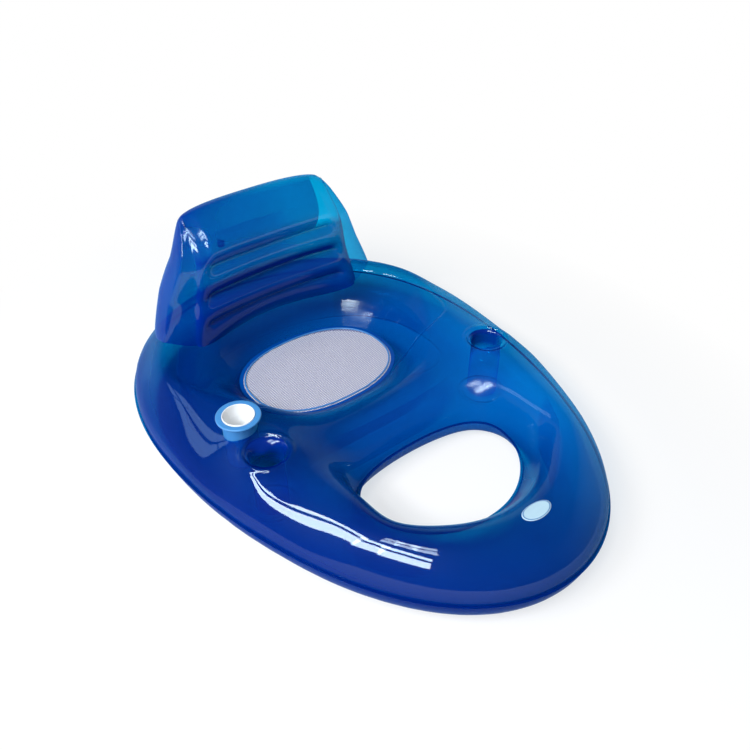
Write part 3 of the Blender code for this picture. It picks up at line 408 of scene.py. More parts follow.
def seat_edge(degrees, grow=0.0):
    """A point of the seat mesh's outline. 0 degrees is at the rear."""
    return opening_edge(degrees, grow, SEAT_WIDTH, SEAT_LENGTH, SEAT_MIDDLE, SEAT_SQUARENESS)


def leg_edge(degrees, grow=0.0):
    """A point of the leg opening's egg. 0 degrees is at the crossbar."""
    return opening_edge(degrees, grow, LEG_WIDTH, LEG_LENGTH, LEG_MIDDLE, LEG_SQUARENESS, LEG_EGG_SHARE)


def full_turn(edge, grow, count=48):
    return [edge(360 * index / count, grow) for index in range(count)]


def lifted(point, height):
    return Vector((point.x, point.y, height))


def upright(middle):
    return Matrix.Translation((middle.x, middle.y, 0.0))


def whole_ring(half):
    """The right half of a ring and its mirror image."""
    return half + [Vector((-point.x, *point[1:])) for point in half[::-1] if abs(point.x) > MERGE]


def curved_loop(points, spacing):
    """A smooth closed ring through the points, as a numpy array at about the given spacing."""
    chain = np.array([tuple(point)[:2] for point in points])
    before, after, far = np.roll(chain, 1, 0), np.roll(chain, -1, 0), np.roll(chain, -2, 0)
    steps = max(2, int(np.linalg.norm(after - chain, axis=1).mean() / spacing))
    pieces = []
    for step in range(steps):
        t = step / steps
        square, cube = 2 * before - 5 * chain + 4 * after - far, 3 * chain - before - 3 * after + far
        pieces.append(0.5 * (2 * chain + (after - before) * t + square * t**2 + cube * t**3))
    return np.stack(pieces, 1).reshape(-1, 2)


def plan_distance(places, loop):
    """How far each plan point lies outside (+) or inside (-) a closed ring, and how far along the ring."""
    start, end = loop, np.roll(loop, -1, 0)
    run = end - start
    length = np.linalg.norm(run, axis=1)
    offset = places[:, None] - start[None]
    share = np.clip((offset * run).sum(2) / (length**2), 0, 1)
    gap = np.linalg.norm(offset - share[..., None] * run, axis=2)
    best = gap.argmin(1)
    rows = np.arange(len(places))
    along = np.concatenate([[0], np.cumsum(length)])[best] + share[rows, best] * length[best]
    low, high = start[:, 1], end[:, 1]
    spans = (low > places[:, None, 1]) != (high > places[:, None, 1])
    with np.errstate(divide="ignore", invalid="ignore"):
        crossing = start[:, 0] + (places[:, None, 1] - low) * run[:, 0] / run[:, 1]
    inside = (spans & (places[:, None, 0] < crossing)).sum(1) % 2 == 1
    return np.where(inside, -gap[rows, best], gap[rows, best]), along


def ring_distance(places, edge, grow, count=48):
    """How far the places lie from a ring in plan that runs parallel to an edge, and how far along it."""
    return plan_distance(places[:, :2], curved_loop(full_turn(edge, grow, count), RING_SPACING))


def mesh_array(mesh):
    places = np.empty(len(mesh.vertices) * 3)
    mesh.vertices.foreach_get("co", places)
    return places.reshape(-1, 3)


def set_attribute(mesh, name, values, kind="FLOAT_VECTOR"):
    layer = mesh.attributes.new(name, kind, "POINT")
    slot = "vector" if kind == "FLOAT_VECTOR" else "value"
    layer.data.foreach_set(slot, np.ascontiguousarray(values, np.float32).ravel())


def piece(name, mesh, material, body, *nodes, sharp=50):
    """A finished piece of the scene, riding on its body in place of the CAD nodes it stands for."""
    mesh.name = name
    mesh.materials.clear()
    mesh.materials.append(material)
    mesh.shade_smooth()
    mesh.set_sharp_from_angle(angle=math.radians(sharp))
    obj = linked(name, mesh)
    if body:
        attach(obj, body)
    if nodes:
        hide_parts(*nodes)
    return obj


def from_bmesh(bm, turn_out=True):
    if turn_out:
        bmesh.ops.recalc_face_normals(bm, faces=bm.faces)
    mesh = bpy.data.meshes.new("shape")
    bm.to_mesh(mesh)
    bm.free()
    return mesh


def spun(profile, place, steps=64):
    """A profile of (radius, height) points turned round the place's own Z axis."""
    bm = bmesh.new()
    chain = [bm.verts.new((radius, 0.0, height)) for radius, height in profile]
    edges = [bm.edges.new(pair) for pair in zip(chain, chain[1:])]
    turn = {"cent": (0, 0, 0), "axis": (0, 0, 1), "angle": 2 * math.pi, "steps": steps, "use_merge": True}
    bmesh.ops.spin(bm, geom=chain + edges, **turn)
    bmesh.ops.remove_doubles(bm, verts=bm.verts, dist=MERGE)
    bmesh.ops.transform(bm, matrix=place, verts=bm.verts)
    return from_bmesh(bm)


def rounded(points, radius, segments=3):
    """The corners of a profile rounded by short arcs; the first and last points stay."""
    path = []
    for index, corner in enumerate(points):
        corner = Vector(corner)
        if index in (0, len(points) - 1):
            path.append(tuple(corner))
            continue
        before, after = Vector(points[index - 1]) - corner, Vector(points[index + 1]) - corner
        reach = min(radius, before.length / 2, after.length / 2)
        start, end = corner + before.normalized() * reach, corner + after.normalized() * reach
        for step in range(segments + 1):
            t = step / segments
            path.append(tuple(start * (1 - t) ** 2 + corner * 2 * t * (1 - t) + end * t**2))
    return path


def flange_mesh(outer, inner, height, thickness):
    """A flat welded flange between two rings in plan."""
    bm = bmesh.new()
    for ring in (outer, inner):
        chain = [bm.verts.new(lifted(point, height)) for point in ring]
        for start, end in zip(chain, chain[1:] + chain[:1]):
            bm.edges.new((start, end))
    bmesh.ops.bridge_loops(bm, edges=bm.edges)
    bmesh.ops.recalc_face_normals(bm, faces=bm.faces)
    bmesh.ops.solidify(bm, geom=bm.faces, thickness=thickness)
    heights = [vertex.co.z for vertex in bm.verts]
    bmesh.ops.translate(bm, verts=bm.verts, vec=(0, 0, height - (max(heights) + min(heights)) / 2))
    return from_bmesh(bm)


def tube(name, points, radius):
    """A closed round bead through the points."""
    curve = bpy.data.curves.new(name, "CURVE")
    curve.dimensions, curve.bevel_depth, curve.bevel_resolution = "3D", radius, 3
    spline = curve.splines.new("POLY")
    spline.points.add(len(points) - 1)
    for point, place in zip(spline.points, points):
        point.co = (*place, 1.0)
    spline.use_cyclic_u = True
    guide = linked(name, curve)
    mesh = evaluated(guide)
    bpy.data.objects.remove(guide, do_unlink=True)
    return mesh


def subtract(mesh, *cutters):
    body = linked("body", mesh)
    tools = [linked("cutter", cutter) for cutter in cutters]
    for tool in tools:
        boolean = body.modifiers.new("pocket", "BOOLEAN")
        boolean.operation, boolean.solver, boolean.object = "DIFFERENCE", "EXACT", tool
    result = evaluated(body)
    for obj in (body, *tools):
        bpy.data.objects.remove(obj, do_unlink=True)
    return result


# The hull's two skins, as half cages that are mirrored and smoothed

class HullCage:
    """Half of a hull skin's coarse cage, at x >= 0, as rings of points joined by quads."""

    def __init__(self):
        self.bm = bmesh.new()
        self.crease = self.bm.edges.layers.float.new("crease_edge")

    def ring(self, points):
        return [self.bm.verts.new(point) for point in points]

    def loft(self, ring_a, ring_b, closed=False, flange=False):
        """Joins two rings of equal count, and marks the faces of a weld flange."""
        count = len(ring_a)
        for index in range(count if closed else count - 1):
            after = (index + 1) % count
            face = self.bm.faces.new((ring_a[index], ring_a[after], ring_b[after], ring_b[index]))
            face.material_index = int(flange)

    def rows(self, *rings):
        for ring_a, ring_b in zip(rings, rings[1:]):
            self.loft(ring_a, ring_b)

    def sharpen(self, ring, closed=False):
        count = len(ring)
        for index in range(count if closed else count - 1):
            edge = self.bm.edges.get((ring[index], ring[(index + 1) % count]))
            edge[self.crease] = 1.0

    def finish(self, name, facing):
        """Mirrors and smooths the half cage, and turns its faces up (1) or down (-1)."""
        cage = linked(name, bpy.data.meshes.new(name))
        bmesh.ops.recalc_face_normals(self.bm, faces=self.bm.faces)
        if sum(face.normal.z * face.calc_area() for face in self.bm.faces) * facing < 0:
            bmesh.ops.reverse_faces(self.bm, faces=self.bm.faces)
        self.bm.to_mesh(cage.data)
        self.bm.free()
        mirror = cage.modifiers.new("halves", "MIRROR")
        mirror.use_clip = True
        mirror.merge_threshold = MERGE
        smooth = cage.modifiers.new("smooth", "SUBSURF")
        smooth.levels = smooth.render_levels = HULL_LEVELS
        mesh = evaluated(cage)
        bpy.data.objects.remove(cage, do_unlink=True)
        for vertex in mesh.vertices:
            vertex.co.z = max(vertex.co.z, 0.0)
        return mesh


def fitted(points):
    """Cage points whose smoothed ring passes through the given points, mirrored at both ends."""
    flip = Vector((-1.0, 1.0, 1.0))
    controls = [point.copy() for point in points]
    for _ in range(FIT_ROUNDS):
        chain = [controls[1] * flip, *controls, controls[-2] * flip]
        triples = zip(chain, chain[1:], chain[2:])
        pulls = [(low + high - 2 * here) * NEIGHBOUR_SHARE for low, here, high in triples]
        controls = [point - pull for point, pull in zip(points, pulls)]
    return controls


def raised(shares):
    return [share * HULL_HEIGHT for share in shares]


def seam_points(angles, edge, grow, height):
    return [lifted(edge(angle, grow), height) for angle in angles]


def between(ring_a, ring_b, share, heights):
    """A ring of plan points a share of the way from one ring to another."""
    return [
        lifted(start.co.xy.lerp(end.xy, share), height)
        for start, end, height in zip(ring_a, ring_b, heights)
    ]


def hull_targets():
    """The plan point on the opening's seam that each station's section runs to."""
    seat = seam_points(SEAT_ANGLES, seat_edge, SEAT_FLANGE_WIDTH, INNER_SEAM_HEIGHT)
    leg = seam_points(LEG_ANGLES, leg_edge, FLANGE_WIDTH, INNER_SEAM_HEIGHT)
    return seat, leg


def station_ring(shares, heights):
    """One ring round the hull, each point a share of the way from the outer seam inwards."""
    seat, leg = hull_targets()
    points = []
    for index, angle in enumerate(STATION_ANGLES):
        outer = hull_edge(angle, FLANGE_WIDTH)
        inner = seat[index] if index < WELL_STATION else leg[max(index - WELL_STATION + 1, 2)]
        points.append(lifted(outer.lerp(inner.xy, shares[index]), heights[index]))
    return points


def edge_ring(inset, height):
    """A cage ring that runs parallel to the outer seam."""
    return fitted([lifted(hull_edge(angle, inset), height) for angle in STATION_ANGLES])


def well_block(points, column):
    """Moves a ring's three points beside the well onto the square that carries the well."""
    reach = WELL_RADIUS + WELL_LAND + WELL_RIM_WIDTH
    for offset in (-1, 0, 1):
        index = WELL_STATION + offset
        place = WELL_MIDDLE + Vector((column * reach, -offset * reach))
        points[index] = lifted(place, points[index].z)
    return points


def crossbar_points(along_share, height):
    """The crossbar's two cage points of one line: one beside the arm and one in the middle."""
    along = along_share * HULL_LENGTH / 2
    half = CROSSBAR_HALF_SHARE * HULL_WIDTH
    return [Vector((half, along, height)), Vector((0.0, along, height))]


def skin_rings(cage, seam_height, wall_height):
    """The rings that both skins start with: the weld flange's rim, the seam and the foot of the wall."""
    flange, seam, wall = [
        cage.ring(edge_ring(inset, height))
        for inset, height in ((0.0, seam_height), (FLANGE_WIDTH, seam_height), (FLANGE_WIDTH, wall_height))
    ]
    cage.loft(flange, seam, flange=True)
    cage.sharpen(seam)
    return seam, wall


def add_middle(cage, ring, facing, crossbar_heights, seat_steps, leg_steps):
    """The crossbar beside the ring, and both openings down to their seams and weld flanges.

    A step is a share of the way to the opening's seam, with its heights.
    """
    alongs = (CROSSBAR_REAR_ALONG_SHARE, CROSSBAR_CREST_ALONG_SHARE, CROSSBAR_FRONT_ALONG_SHARE)
    rear, crown, front = [cage.ring(crossbar_points(*line)) for line in zip(alongs, crossbar_heights)]
    cage.loft([ring[BEFORE_WELL], *rear], [ring[WELL_STATION], *crown])
    cage.loft([ring[WELL_STATION], *crown], [ring[AFTER_WELL], *front])
    seat, leg = [fitted(targets) for targets in hull_targets()]
    for top, targets, half, angles, edge, steps in (
        (ring[: BEFORE_WELL + 1] + rear, seat, MESH_SEAM_HALF, SEAT_ANGLES, seat_edge, seat_steps),
        (front[::-1] + ring[AFTER_WELL:], leg, SEAM_HALF, LEG_ANGLES, leg_edge, leg_steps),
    ):
        for target in targets:
            target.z = INNER_SEAM_HEIGHT + facing * half
        rings = [cage.ring(between(top, targets, share, heights)) for share, heights in steps]
        seam = cage.ring(targets)
        lip = cage.ring(fitted(seam_points(angles, edge, 0.0, targets[0].z)))
        cage.rows(top, *rings, seam)
        cage.loft(seam, lip, flange=True)
        cage.sharpen(seam)


def upper_skin_mesh():
    cage = HullCage()
    seam_height = OUTER_SEAM_HEIGHT + SEAM_HALF
    wall_height = seam_height + RISE_HEIGHT_SHARE * (HULL_HEIGHT - OUTER_SEAM_HEIGHT)
    seam, wall = skin_rings(cage, seam_height, wall_height)
    crest_ring = station_ring(CREST_SHARES, raised((CREST_HEIGHT_SHARE,) * STATIONS))
    valley_ring = station_ring(VALLEY_SHARES, raised(VALLEY_HEIGHT_SHARES))
    shoulder = cage.ring(well_block(edge_ring(SHOULDER_INSET, SHOULDER_HEIGHT_SHARE * HULL_HEIGHT), 1))
    crest = cage.ring(well_block(fitted(crest_ring), 0))
    valley = cage.ring(well_block(fitted(valley_ring), -1))
    cage.rows(seam, wall, shoulder)
    for part in (slice(0, BEFORE_WELL + 1), slice(AFTER_WELL, STATIONS)):
        cage.rows(shoulder[part], crest[part], valley[part])
    add_well(cage, shoulder, crest, valley)
    bowl = ((BOWL_SHARE, raised(BOWL_HEIGHT_SHARES)), (BOWL_FOOT_SHARE, raised(BOWL_FOOT_HEIGHT_SHARES)))
    leg_wall = ((LEG_WALL_SHARE, raised((LEG_WALL_HEIGHT_SHARE,) * len(LEG_ANGLES))),)
    crossbar = raised((CROSSBAR_REAR_SHARE, CROSSBAR_CREST_SHARE, CROSSBAR_FRONT_SHARE))
    add_middle(cage, valley, 1, crossbar, bowl, leg_wall)
    return cage.finish("upper_cage", 1)


def add_well(cage, shoulder, crest, valley):
    """Fills the square beside the crossbar with the raised ring and flat land of a cup well."""
    low, middle, high = BEFORE_WELL, WELL_STATION, AFTER_WELL
    square = [
        shoulder[low], shoulder[middle], shoulder[high], crest[high],
        valley[high], valley[middle], valley[low], crest[low],
    ]

    def ring_at(radius, height):
        points = []
        for vertex in square:
            outward = (vertex.co.xy - WELL_MIDDLE).normalized()
            points.append(lifted(WELL_MIDDLE + outward * radius, height))
        return cage.ring(points)

    rim = ring_at(WELL_RADIUS + WELL_LAND + WELL_RIM_WIDTH / 2, WELL_TOP + WELL_RIM_RISE)
    land = ring_at(WELL_RADIUS + WELL_LAND, WELL_TOP)
    cage.loft(square, rim, closed=True)
    cage.loft(rim, land, closed=True)
    cage.bm.faces.new(land)
    cage.sharpen(land, closed=True)


def lower_skin_mesh():
    cage = HullCage()
    below = -CONTACT_DEPTH
    seam, wall = skin_rings(cage, OUTER_SEAM_HEIGHT - SEAM_HALF, KEEL_WALL_HEIGHT_SHARE * HULL_HEIGHT)
    outer = cage.ring(edge_ring(KEEL_INSET, below))
    middle_ring = fitted(station_ring((KEEL_MIDDLE_SHARE,) * STATIONS, (below,) * STATIONS))
    middle = cage.ring(well_block(middle_ring, -1))
    cage.rows(seam, wall, outer, middle)
    seat_wall, leg_wall = [
        ((KEEL_INNER_SHARE, raised((KEEL_INNER_HEIGHT_SHARE,) * count)),)
        for count in (len(SEAT_ANGLES), len(LEG_ANGLES))
    ]
    add_middle(cage, middle, -1, (below,) * 3, seat_wall, leg_wall)
    return cage.finish("lower_cage", -1)


# The hull film: both skins as one closed film, with two cup wells, the holder's socket, creases and puckers

def hull_mesh():
    bm = bmesh.new()
    for skin in (upper_skin_mesh(), lower_skin_mesh()):
        part = bmesh.new()
        part.from_mesh(skin)
        flanges = [face for face in part.faces if face.material_index == 1]
        bmesh.ops.delete(part, geom=flanges, context="FACES")
        for vertex in part.verts:
            if vertex.is_boundary:
                to_outer = abs(vertex.co.z - OUTER_SEAM_HEIGHT)
                to_inner = abs(vertex.co.z - INNER_SEAM_HEIGHT)
                vertex.co.z = OUTER_SEAM_HEIGHT if to_outer < to_inner else INNER_SEAM_HEIGHT
        joined = bpy.data.meshes.new("skin")
        part.to_mesh(joined)
        part.free()
        bm.from_mesh(joined)
    bmesh.ops.remove_doubles(bm, verts=bm.verts, dist=MERGE)
    return from_bmesh(bm)


def pocket_cutter(profile, place, pinch=0.0, towards=0.0):
    """A closed body that cuts a round pocket; the pinch lets one side of its wall sag inwards."""
    mesh = spun(profile, Matrix.Identity(4), 48)
    foot, head = profile[0][1], profile[-1][1]
    for vertex in mesh.vertices:
        height = (vertex.co.z - foot) / (head - foot)
        turn = math.atan2(vertex.co.y, vertex.co.x) - towards
        rise = min(1.0, max(0.0, (height - PINCH_LOW_SHARE) / (PINCH_HIGH_SHARE - PINCH_LOW_SHARE)))
        sag = pinch * max(0.0, math.cos(turn)) ** 2 * math.sin(math.pi * rise) ** 2
        vertex.co.x *= 1 - sag
        vertex.co.y *= 1 - sag
    mesh.transform(place)
    return mesh


def well_cutters():
    """Cutters for the two cup wells: a straight wall under a rounded lip, with one side that sags."""
    floor = WELL_FLOOR_HEIGHT + FILM + GAP
    wall_top = WELL_TOP - LIP_DEPTH
    profile = [(0.0, floor)]
    for step in range(WELL_WALL_STEPS + 1):
        profile.append((WELL_RADIUS, floor + (wall_top - floor) * step / WELL_WALL_STEPS))
    for step in range(1, LIP_STEPS + 1):
        turn = math.radians(90 * step / LIP_STEPS)
        radius = WELL_RADIUS + LIP_WIDTH * (1 - math.cos(turn))
        profile.append((radius, wall_top + LIP_DEPTH * math.sin(turn)))
    over = WELL_TOP + CUT_OVERRUN
    profile += [(WELL_RADIUS + LIP_WIDTH + MOUTH_SLOPE, over), (0.0, over)]
    cutters = []
    for side, pinch, angle in zip((1, -1), PINCH_SHARES, PINCH_ANGLES):
        place = upright(Vector((side * WELL_MIDDLE.x, WELL_MIDDLE.y)))
        cutters.append(pocket_cutter(profile, place, pinch, math.radians(angle)))
    return cutters


def socket_cutter():
    foot, radius = HOLDER_BASE - GAP, HOLDER_RADIUS + GAP
    profile = ((0.0, foot), (radius, foot), (radius, HOLDER_TOP), (0.0, HOLDER_TOP))
    return pocket_cutter(profile, upright(HOLDER_MIDDLE))


def add_creases(mesh):
    """Distances in plan to the inner strips' welds, which show as thin creases, and to the seams."""
    places = mesh_array(mesh)
    valley = station_ring(VALLEY_SHARES, (0.0,) * STATIONS)[:BEFORE_WELL]
    bowl_ring = whole_ring(valley + [Vector(point) for point in BOWL_FRONT])
    bowl, along = plan_distance(places[:, :2], curved_loop(bowl_ring, RING_SPACING))
    inner = ring_distance(places, seat_edge, INNER_CREASE)[0]
    leg = ring_distance(places, leg_edge, LEG_CREASE)[0]
    set_attribute(mesh, "creases", np.stack([bowl, inner, leg], 1))
    seams = [
        ring_distance(places, seat_edge, SEAT_FLANGE_WIDTH), ring_distance(places, leg_edge, FLANGE_WIDTH),
        ring_distance(places, hull_edge, FLANGE_WIDTH, 72),
    ]
    nearest = np.abs([seam[0] for seam in seams])
    run = np.stack([seam[1] for seam in seams])[nearest.argmin(0), np.arange(len(places))]
    set_attribute(mesh, "seam", np.stack([nearest.min(0), run, along], 1))
    # The film's painted shade
    add_painted_shade(mesh, places, nearest)


def add_painted_shade(mesh, places, seam_gaps):
    """Painted shade over the foot, at the rear, by the seams, in clouds and in the wells' mouths; pocket
    walls paler.
    """
    x, y, z = places.T
    seat, leg, outer = seam_gaps
    # Painted shade, deepest over the near side of the foot, and none over the far arm
    dye = FOOT_SHADE * np.clip((0.15 - 0.9 * x - np.where(y < 0, 0.6, 0.25) * y) * 1.8, 0, 1)
    dye += (
        REAR_SHADE * np.clip(y / 0.3, 0, 1) + SEAT_SHADE * np.exp(-seat / SEAT_SHADE_REACH)
        + LEG_SHADE * np.exp(-leg / LEG_SHADE_REACH)
        + OUTER_SHADE * np.exp(-outer / OUTER_SHADE_REACH) * np.clip(0.3 - x, 0, 1)
    )
    for middle_x, middle_y, reach, amount in CLOUDS:
        dye += amount * np.exp(-((x - middle_x) ** 2 + (y - middle_y) ** 2) / reach**2) * (z > CLOUD_FLOOR)
    # Painted shade in each pocket's mouth, deepest on its far side; lower down, its walls are made paler
    for middle_x, middle_y, radius, foot in POCKETS:
        far = (FAR_WAY[0] * (x - middle_x) + FAR_WAY[1] * (y - middle_y)) / radius
        inside = (np.hypot(x - middle_x, y - middle_y) < radius) & (z > foot)
        dye += inside * (POCKET_PALING + MOUTH_SHADE * np.clip((z - 0.10) / 0.05, 0, 1) * np.clip(far + 0.4, 0, 1))
    set_attribute(mesh, "dye", dye, "FLOAT")


def round_foot(mesh):
    """Air pressure rounds the foot roll's shoulder between its outer seam and its crest."""
    places = mesh_array(mesh)
    beside_well = (CREST_SHARES[WELL_STATION - 2] + CREST_SHARES[WELL_STATION + 2]) / 2
    crest_ring = whole_ring(station_ring([share or beside_well for share in CREST_SHARES], (0.0,) * STATIONS))
    inside = -ring_distance(places, hull_edge, FLANGE_WIDTH, 72)[0]
    beyond = plan_distance(places[:, :2], curved_loop(crest_ring, RING_SPACING))[0]
    share = np.clip(inside / np.maximum(inside + beyond, MERGE), 0, 1)
    round_height = OUTER_SEAM_HEIGHT + (FOOT_CREST_HEIGHT - OUTER_SEAM_HEIGHT) * np.sqrt(1 - (1 - share) ** 2)
    reach = np.clip((FOOT_ROUND_FROM - places[:, 1]) / FOOT_ROUND_FADE, 0, 1)
    weight = np.where(places[:, 0] < 0, FOOT_ROUND_RIGHT_SHARE, FOOT_ROUND_LEFT_SHARE)
    change = np.clip(np.abs(places[:, 0]) / FOOT_ROUND_FADE, 0, 1)
    middle = (FOOT_ROUND_LEFT_SHARE + FOOT_ROUND_RIGHT_SHARE) / 2
    weight = (middle + (weight - middle) * change) * reach * reach * (3 - 2 * reach)
    lift = (beyond > 0) & (inside > 0) & (places[:, 2] > OUTER_SEAM_HEIGHT)
    places[:, 2] += np.where(lift, weight * np.maximum(round_height - places[:, 2], 0), 0)
    mesh.vertices.foreach_set("co", places.ravel())
    return mesh


def pucker(mesh):
    """Small dents that run in from the welded seams, strongest beside them."""
    places = mesh_array(mesh)
    values = np.empty(len(places) * 3, np.float32)
    mesh.attributes["seam"].data.foreach_get("vector", values)
    gap, run = values.reshape(-1, 3)[:, 0], values.reshape(-1, 3)[:, 1]
    wave = np.sin(run * 92 + 2.1 * np.sin(run * 13)) + 0.6 * np.sin(run * 151 + 1.3 * np.sin(run * 29 + 1.0))
    normals = np.empty(len(places) * 3, np.float32)
    mesh.vertex_normals.foreach_get("vector", normals)
    fade = np.exp(-gap / PUCKER_REACH) * np.clip(gap / 0.008, 0, 1) * (places[:, 2] > 0.02)
    moved = places + normals.reshape(-1, 3) * (wave * fade * PUCKER_DEPTH)[:, None]
    mesh.vertices.foreach_set("co", moved.ravel())


# The backrest: its two panels as one film, drawn on grids whose foot lies on the hull's film

def along_stops(share, stops, values):
    """Runs straight from one value to the next between the backrest's foot, grooves and top."""
    spans = zip(stops, stops[1:], values, values[1:])
    for low, high, start, end in spans:
        if share <= high:
            return start + (end - start) * (share - low) / (high - low)
    return values[-1]


def backrest_sizes(share, stops):
    """Half widths, inflation, front line and hollow of the backrest at a share of its height."""
    up = max(0.0, (share - STRAIGHT_SHARE) / (1 - STRAIGHT_SHARE))
    half_width = (BACKREST_BASE_WIDTH + (BACKREST_TOP_WIDTH - BACKREST_BASE_WIDTH) * up**TAPER_POWER) / 2
    seam_half = half_width - BACKREST_SEAM_INSET * (1 - up**SEAM_POWER)
    swell = math.sqrt(max(0.0, 1 - up**SWELL_POWER))
    top = max(0.0, (share - stops[-2]) / (1 - stops[-2]))
    curved = stops[-2] + (1 - stops[-2]) * top**TOP_CURVE_POWER if top else share
    front = along_stops(curved, stops, FRONT_LINE_SHARES) * HULL_LENGTH / 2
    hollow = along_stops(share, stops, HOLLOW_SHARES) * BACKREST_HOLLOW
    return half_width, seam_half, swell, front, hollow


def backrest_top(across):
    """The height of the backrest's top seam, which drops at its two corners."""
    return BACKREST_TOP - TOP_DROP_SHARE * RIB_DEPTH * abs(across) ** TOP_DROP_POWER


def rib_swell(share, stops):
    """How far a rib stands out between two welded grooves: 0 on a groove and 1 between two."""
    for low, high in zip(stops, stops[1:]):
        if low <= share <= high:
            return math.sin(math.pi * (share - low) / (high - low)) ** RIB_POWER
    return 0.0


def smooth_step(low, high, value):
    share = min(1.0, max(0.0, (value - low) / (high - low)))
    return share * share * (3 - 2 * share)


def front_point(share, across, stops):
    half_width, seam_half, swell, front, hollow = backrest_sizes(share, stops)
    low, high = GROOVE_HALF_SHARE - GROOVE_FADE_SHARE, GROOVE_HALF_SHARE + GROOVE_FADE_SHARE
    fade = smooth_step(low, high, abs(across))
    rib = rib_swell(share, stops)
    bulge = (rib * (1 - fade) + fade * swell) * RIB_DEPTH * math.sqrt(1 - abs(across) ** RIB_END_POWER)
    if share > stops[-2]:
        bulge *= 1 + TOP_RIB_SHARE * rib
    hollow *= 1 - across * across
    height = BACKREST_FOOT + (backrest_top(across) - BACKREST_FOOT) * share
    return Vector((seam_half * across, front + hollow - bulge, height))


def rear_point(share, across, stops):
    half_width, seam_half, swell, front, hollow = backrest_sizes(share, stops)
    start = math.acos(min(1.0, seam_half / half_width))
    even = math.pi / 2 - across * (math.pi / 2 + start)
    matched = math.acos(max(-1.0, min(1.0, seam_half * across / half_width)))
    angle = matched + (even - matched) * min(1.0, 2.0 * swell)
    height = BACKREST_FOOT + (backrest_top(across) - BACKREST_FOOT) * share
    cheek = BACKREST_CHEEK_DEPTH * swell
    middle = front + cheek * math.sin(start)
    if math.sin(angle) <= 0:
        return Vector((half_width * math.cos(angle), middle + cheek * math.sin(angle), height))
    power = 2 / (2 + (BACKREST_SQUARENESS - 2) * min(1.0, 2.0 * swell))
    depth = (BACKREST_BASE_DEPTH - BACKREST_CHEEK_DEPTH) * swell
    side = half_width * signed_power(math.cos(angle), power)
    back = depth * math.sin(angle) ** power + hollow * (1 - swell) * math.sin(angle) ** 2
    return Vector((side, middle + back, height))


def backrest_grid(bm, point_at, side, hull_tree):
    """One panel's grid; each vertex keeps its share across and up, and its side: 0 in front, 1 behind."""
    span = BACKREST_TOP - BACKREST_FOOT
    stops = [0.0, *[(height - BACKREST_FOOT) / span for height in GROOVE_HEIGHTS], 1.0]
    rib = bm.verts.layers.float_vector["rib"]
    grid = []
    for column in range(PANEL_COLUMNS + 1):
        even = 2 * column / PANEL_COLUMNS - 1
        across = math.copysign(1 - (1 - abs(even)) ** COLUMN_POWER, even)
        low, high = 0.0, stops[1]
        for _ in range(FOOT_SEARCH_ROUNDS):
            middle = (low + high) / 2
            point = point_at(middle, across, stops)
            ground = hull_tree.ray_cast(Vector((point.x, point.y, 1.0)), Vector((0, 0, -1)))[0]
            if ground is not None and point.z < ground.z:
                low = middle
            else:
                high = middle
        shares = []
        for start, end in zip([high, *stops[1:-1]], stops[1:]):
            shares += [start + (end - start) * row / PANEL_ROWS for row in range(PANEL_ROWS)]
        line = [bm.verts.new(point_at(share, across, stops)) for share in (*shares, 1.0)]
        for vertex, share in zip(line, (*shares, 1.0)):
            vertex[rib] = (across, share, 0.5 if share == 1.0 or abs(across) == 1.0 else side)
        grid.append(line)
    for low, high in zip(grid, grid[1:]):
        for row in range(len(low) - 1):
            corners = (low[row], high[row], high[row + 1], low[row + 1])
            bm.faces.new(corners[::-1] if side else corners)


def backrest_mesh(hull_tree):
    bm = bmesh.new()
    bm.verts.layers.float_vector.new("rib")
    backrest_grid(bm, front_point, 0.0, hull_tree)
    backrest_grid(bm, rear_point, 1.0, hull_tree)
    bmesh.ops.remove_doubles(bm, verts=bm.verts, dist=MERGE)
    rib = bm.verts.layers.float_vector["rib"]
    edge = [vertex for vertex in bm.verts if abs(vertex[rib].x) > CHEEK_SHARE and not vertex.is_boundary]
    for _ in range(CHEEK_ROUNDS):
        bmesh.ops.smooth_vert(bm, verts=edge, factor=0.5, use_axis_x=True, use_axis_y=True, use_axis_z=True)
    return from_bmesh(bm, False)


# The inner film strips, the seat net, the plate and the valves

def strip_sheet(node, towards):
    """One side of a CAD film strip: the faces that look towards the given direction."""
    bm = bmesh.new()
    bm.from_mesh(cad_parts[node].data)
    bmesh.ops.remove_doubles(bm, verts=bm.verts, dist=MERGE / 10)
    bm.normal_update()
    away = [face for face in bm.faces if face.normal.dot(towards) < 0.5]
    bmesh.ops.delete(bm, geom=away, context="FACES")
    mesh = from_bmesh(bm, False)
    places = mesh_array(mesh)
    low, high = places.min(0), places.max(0)
    shares = (places - (low + high) / 2) / np.maximum((high - low) / 2, MERGE)
    long_axis = 0 if high[0] - low[0] > high[1] - low[1] else 1
    set_attribute(mesh, "ends", np.stack([shares[:, long_axis], shares[:, 2], places[:, 2]], 1))
    return mesh


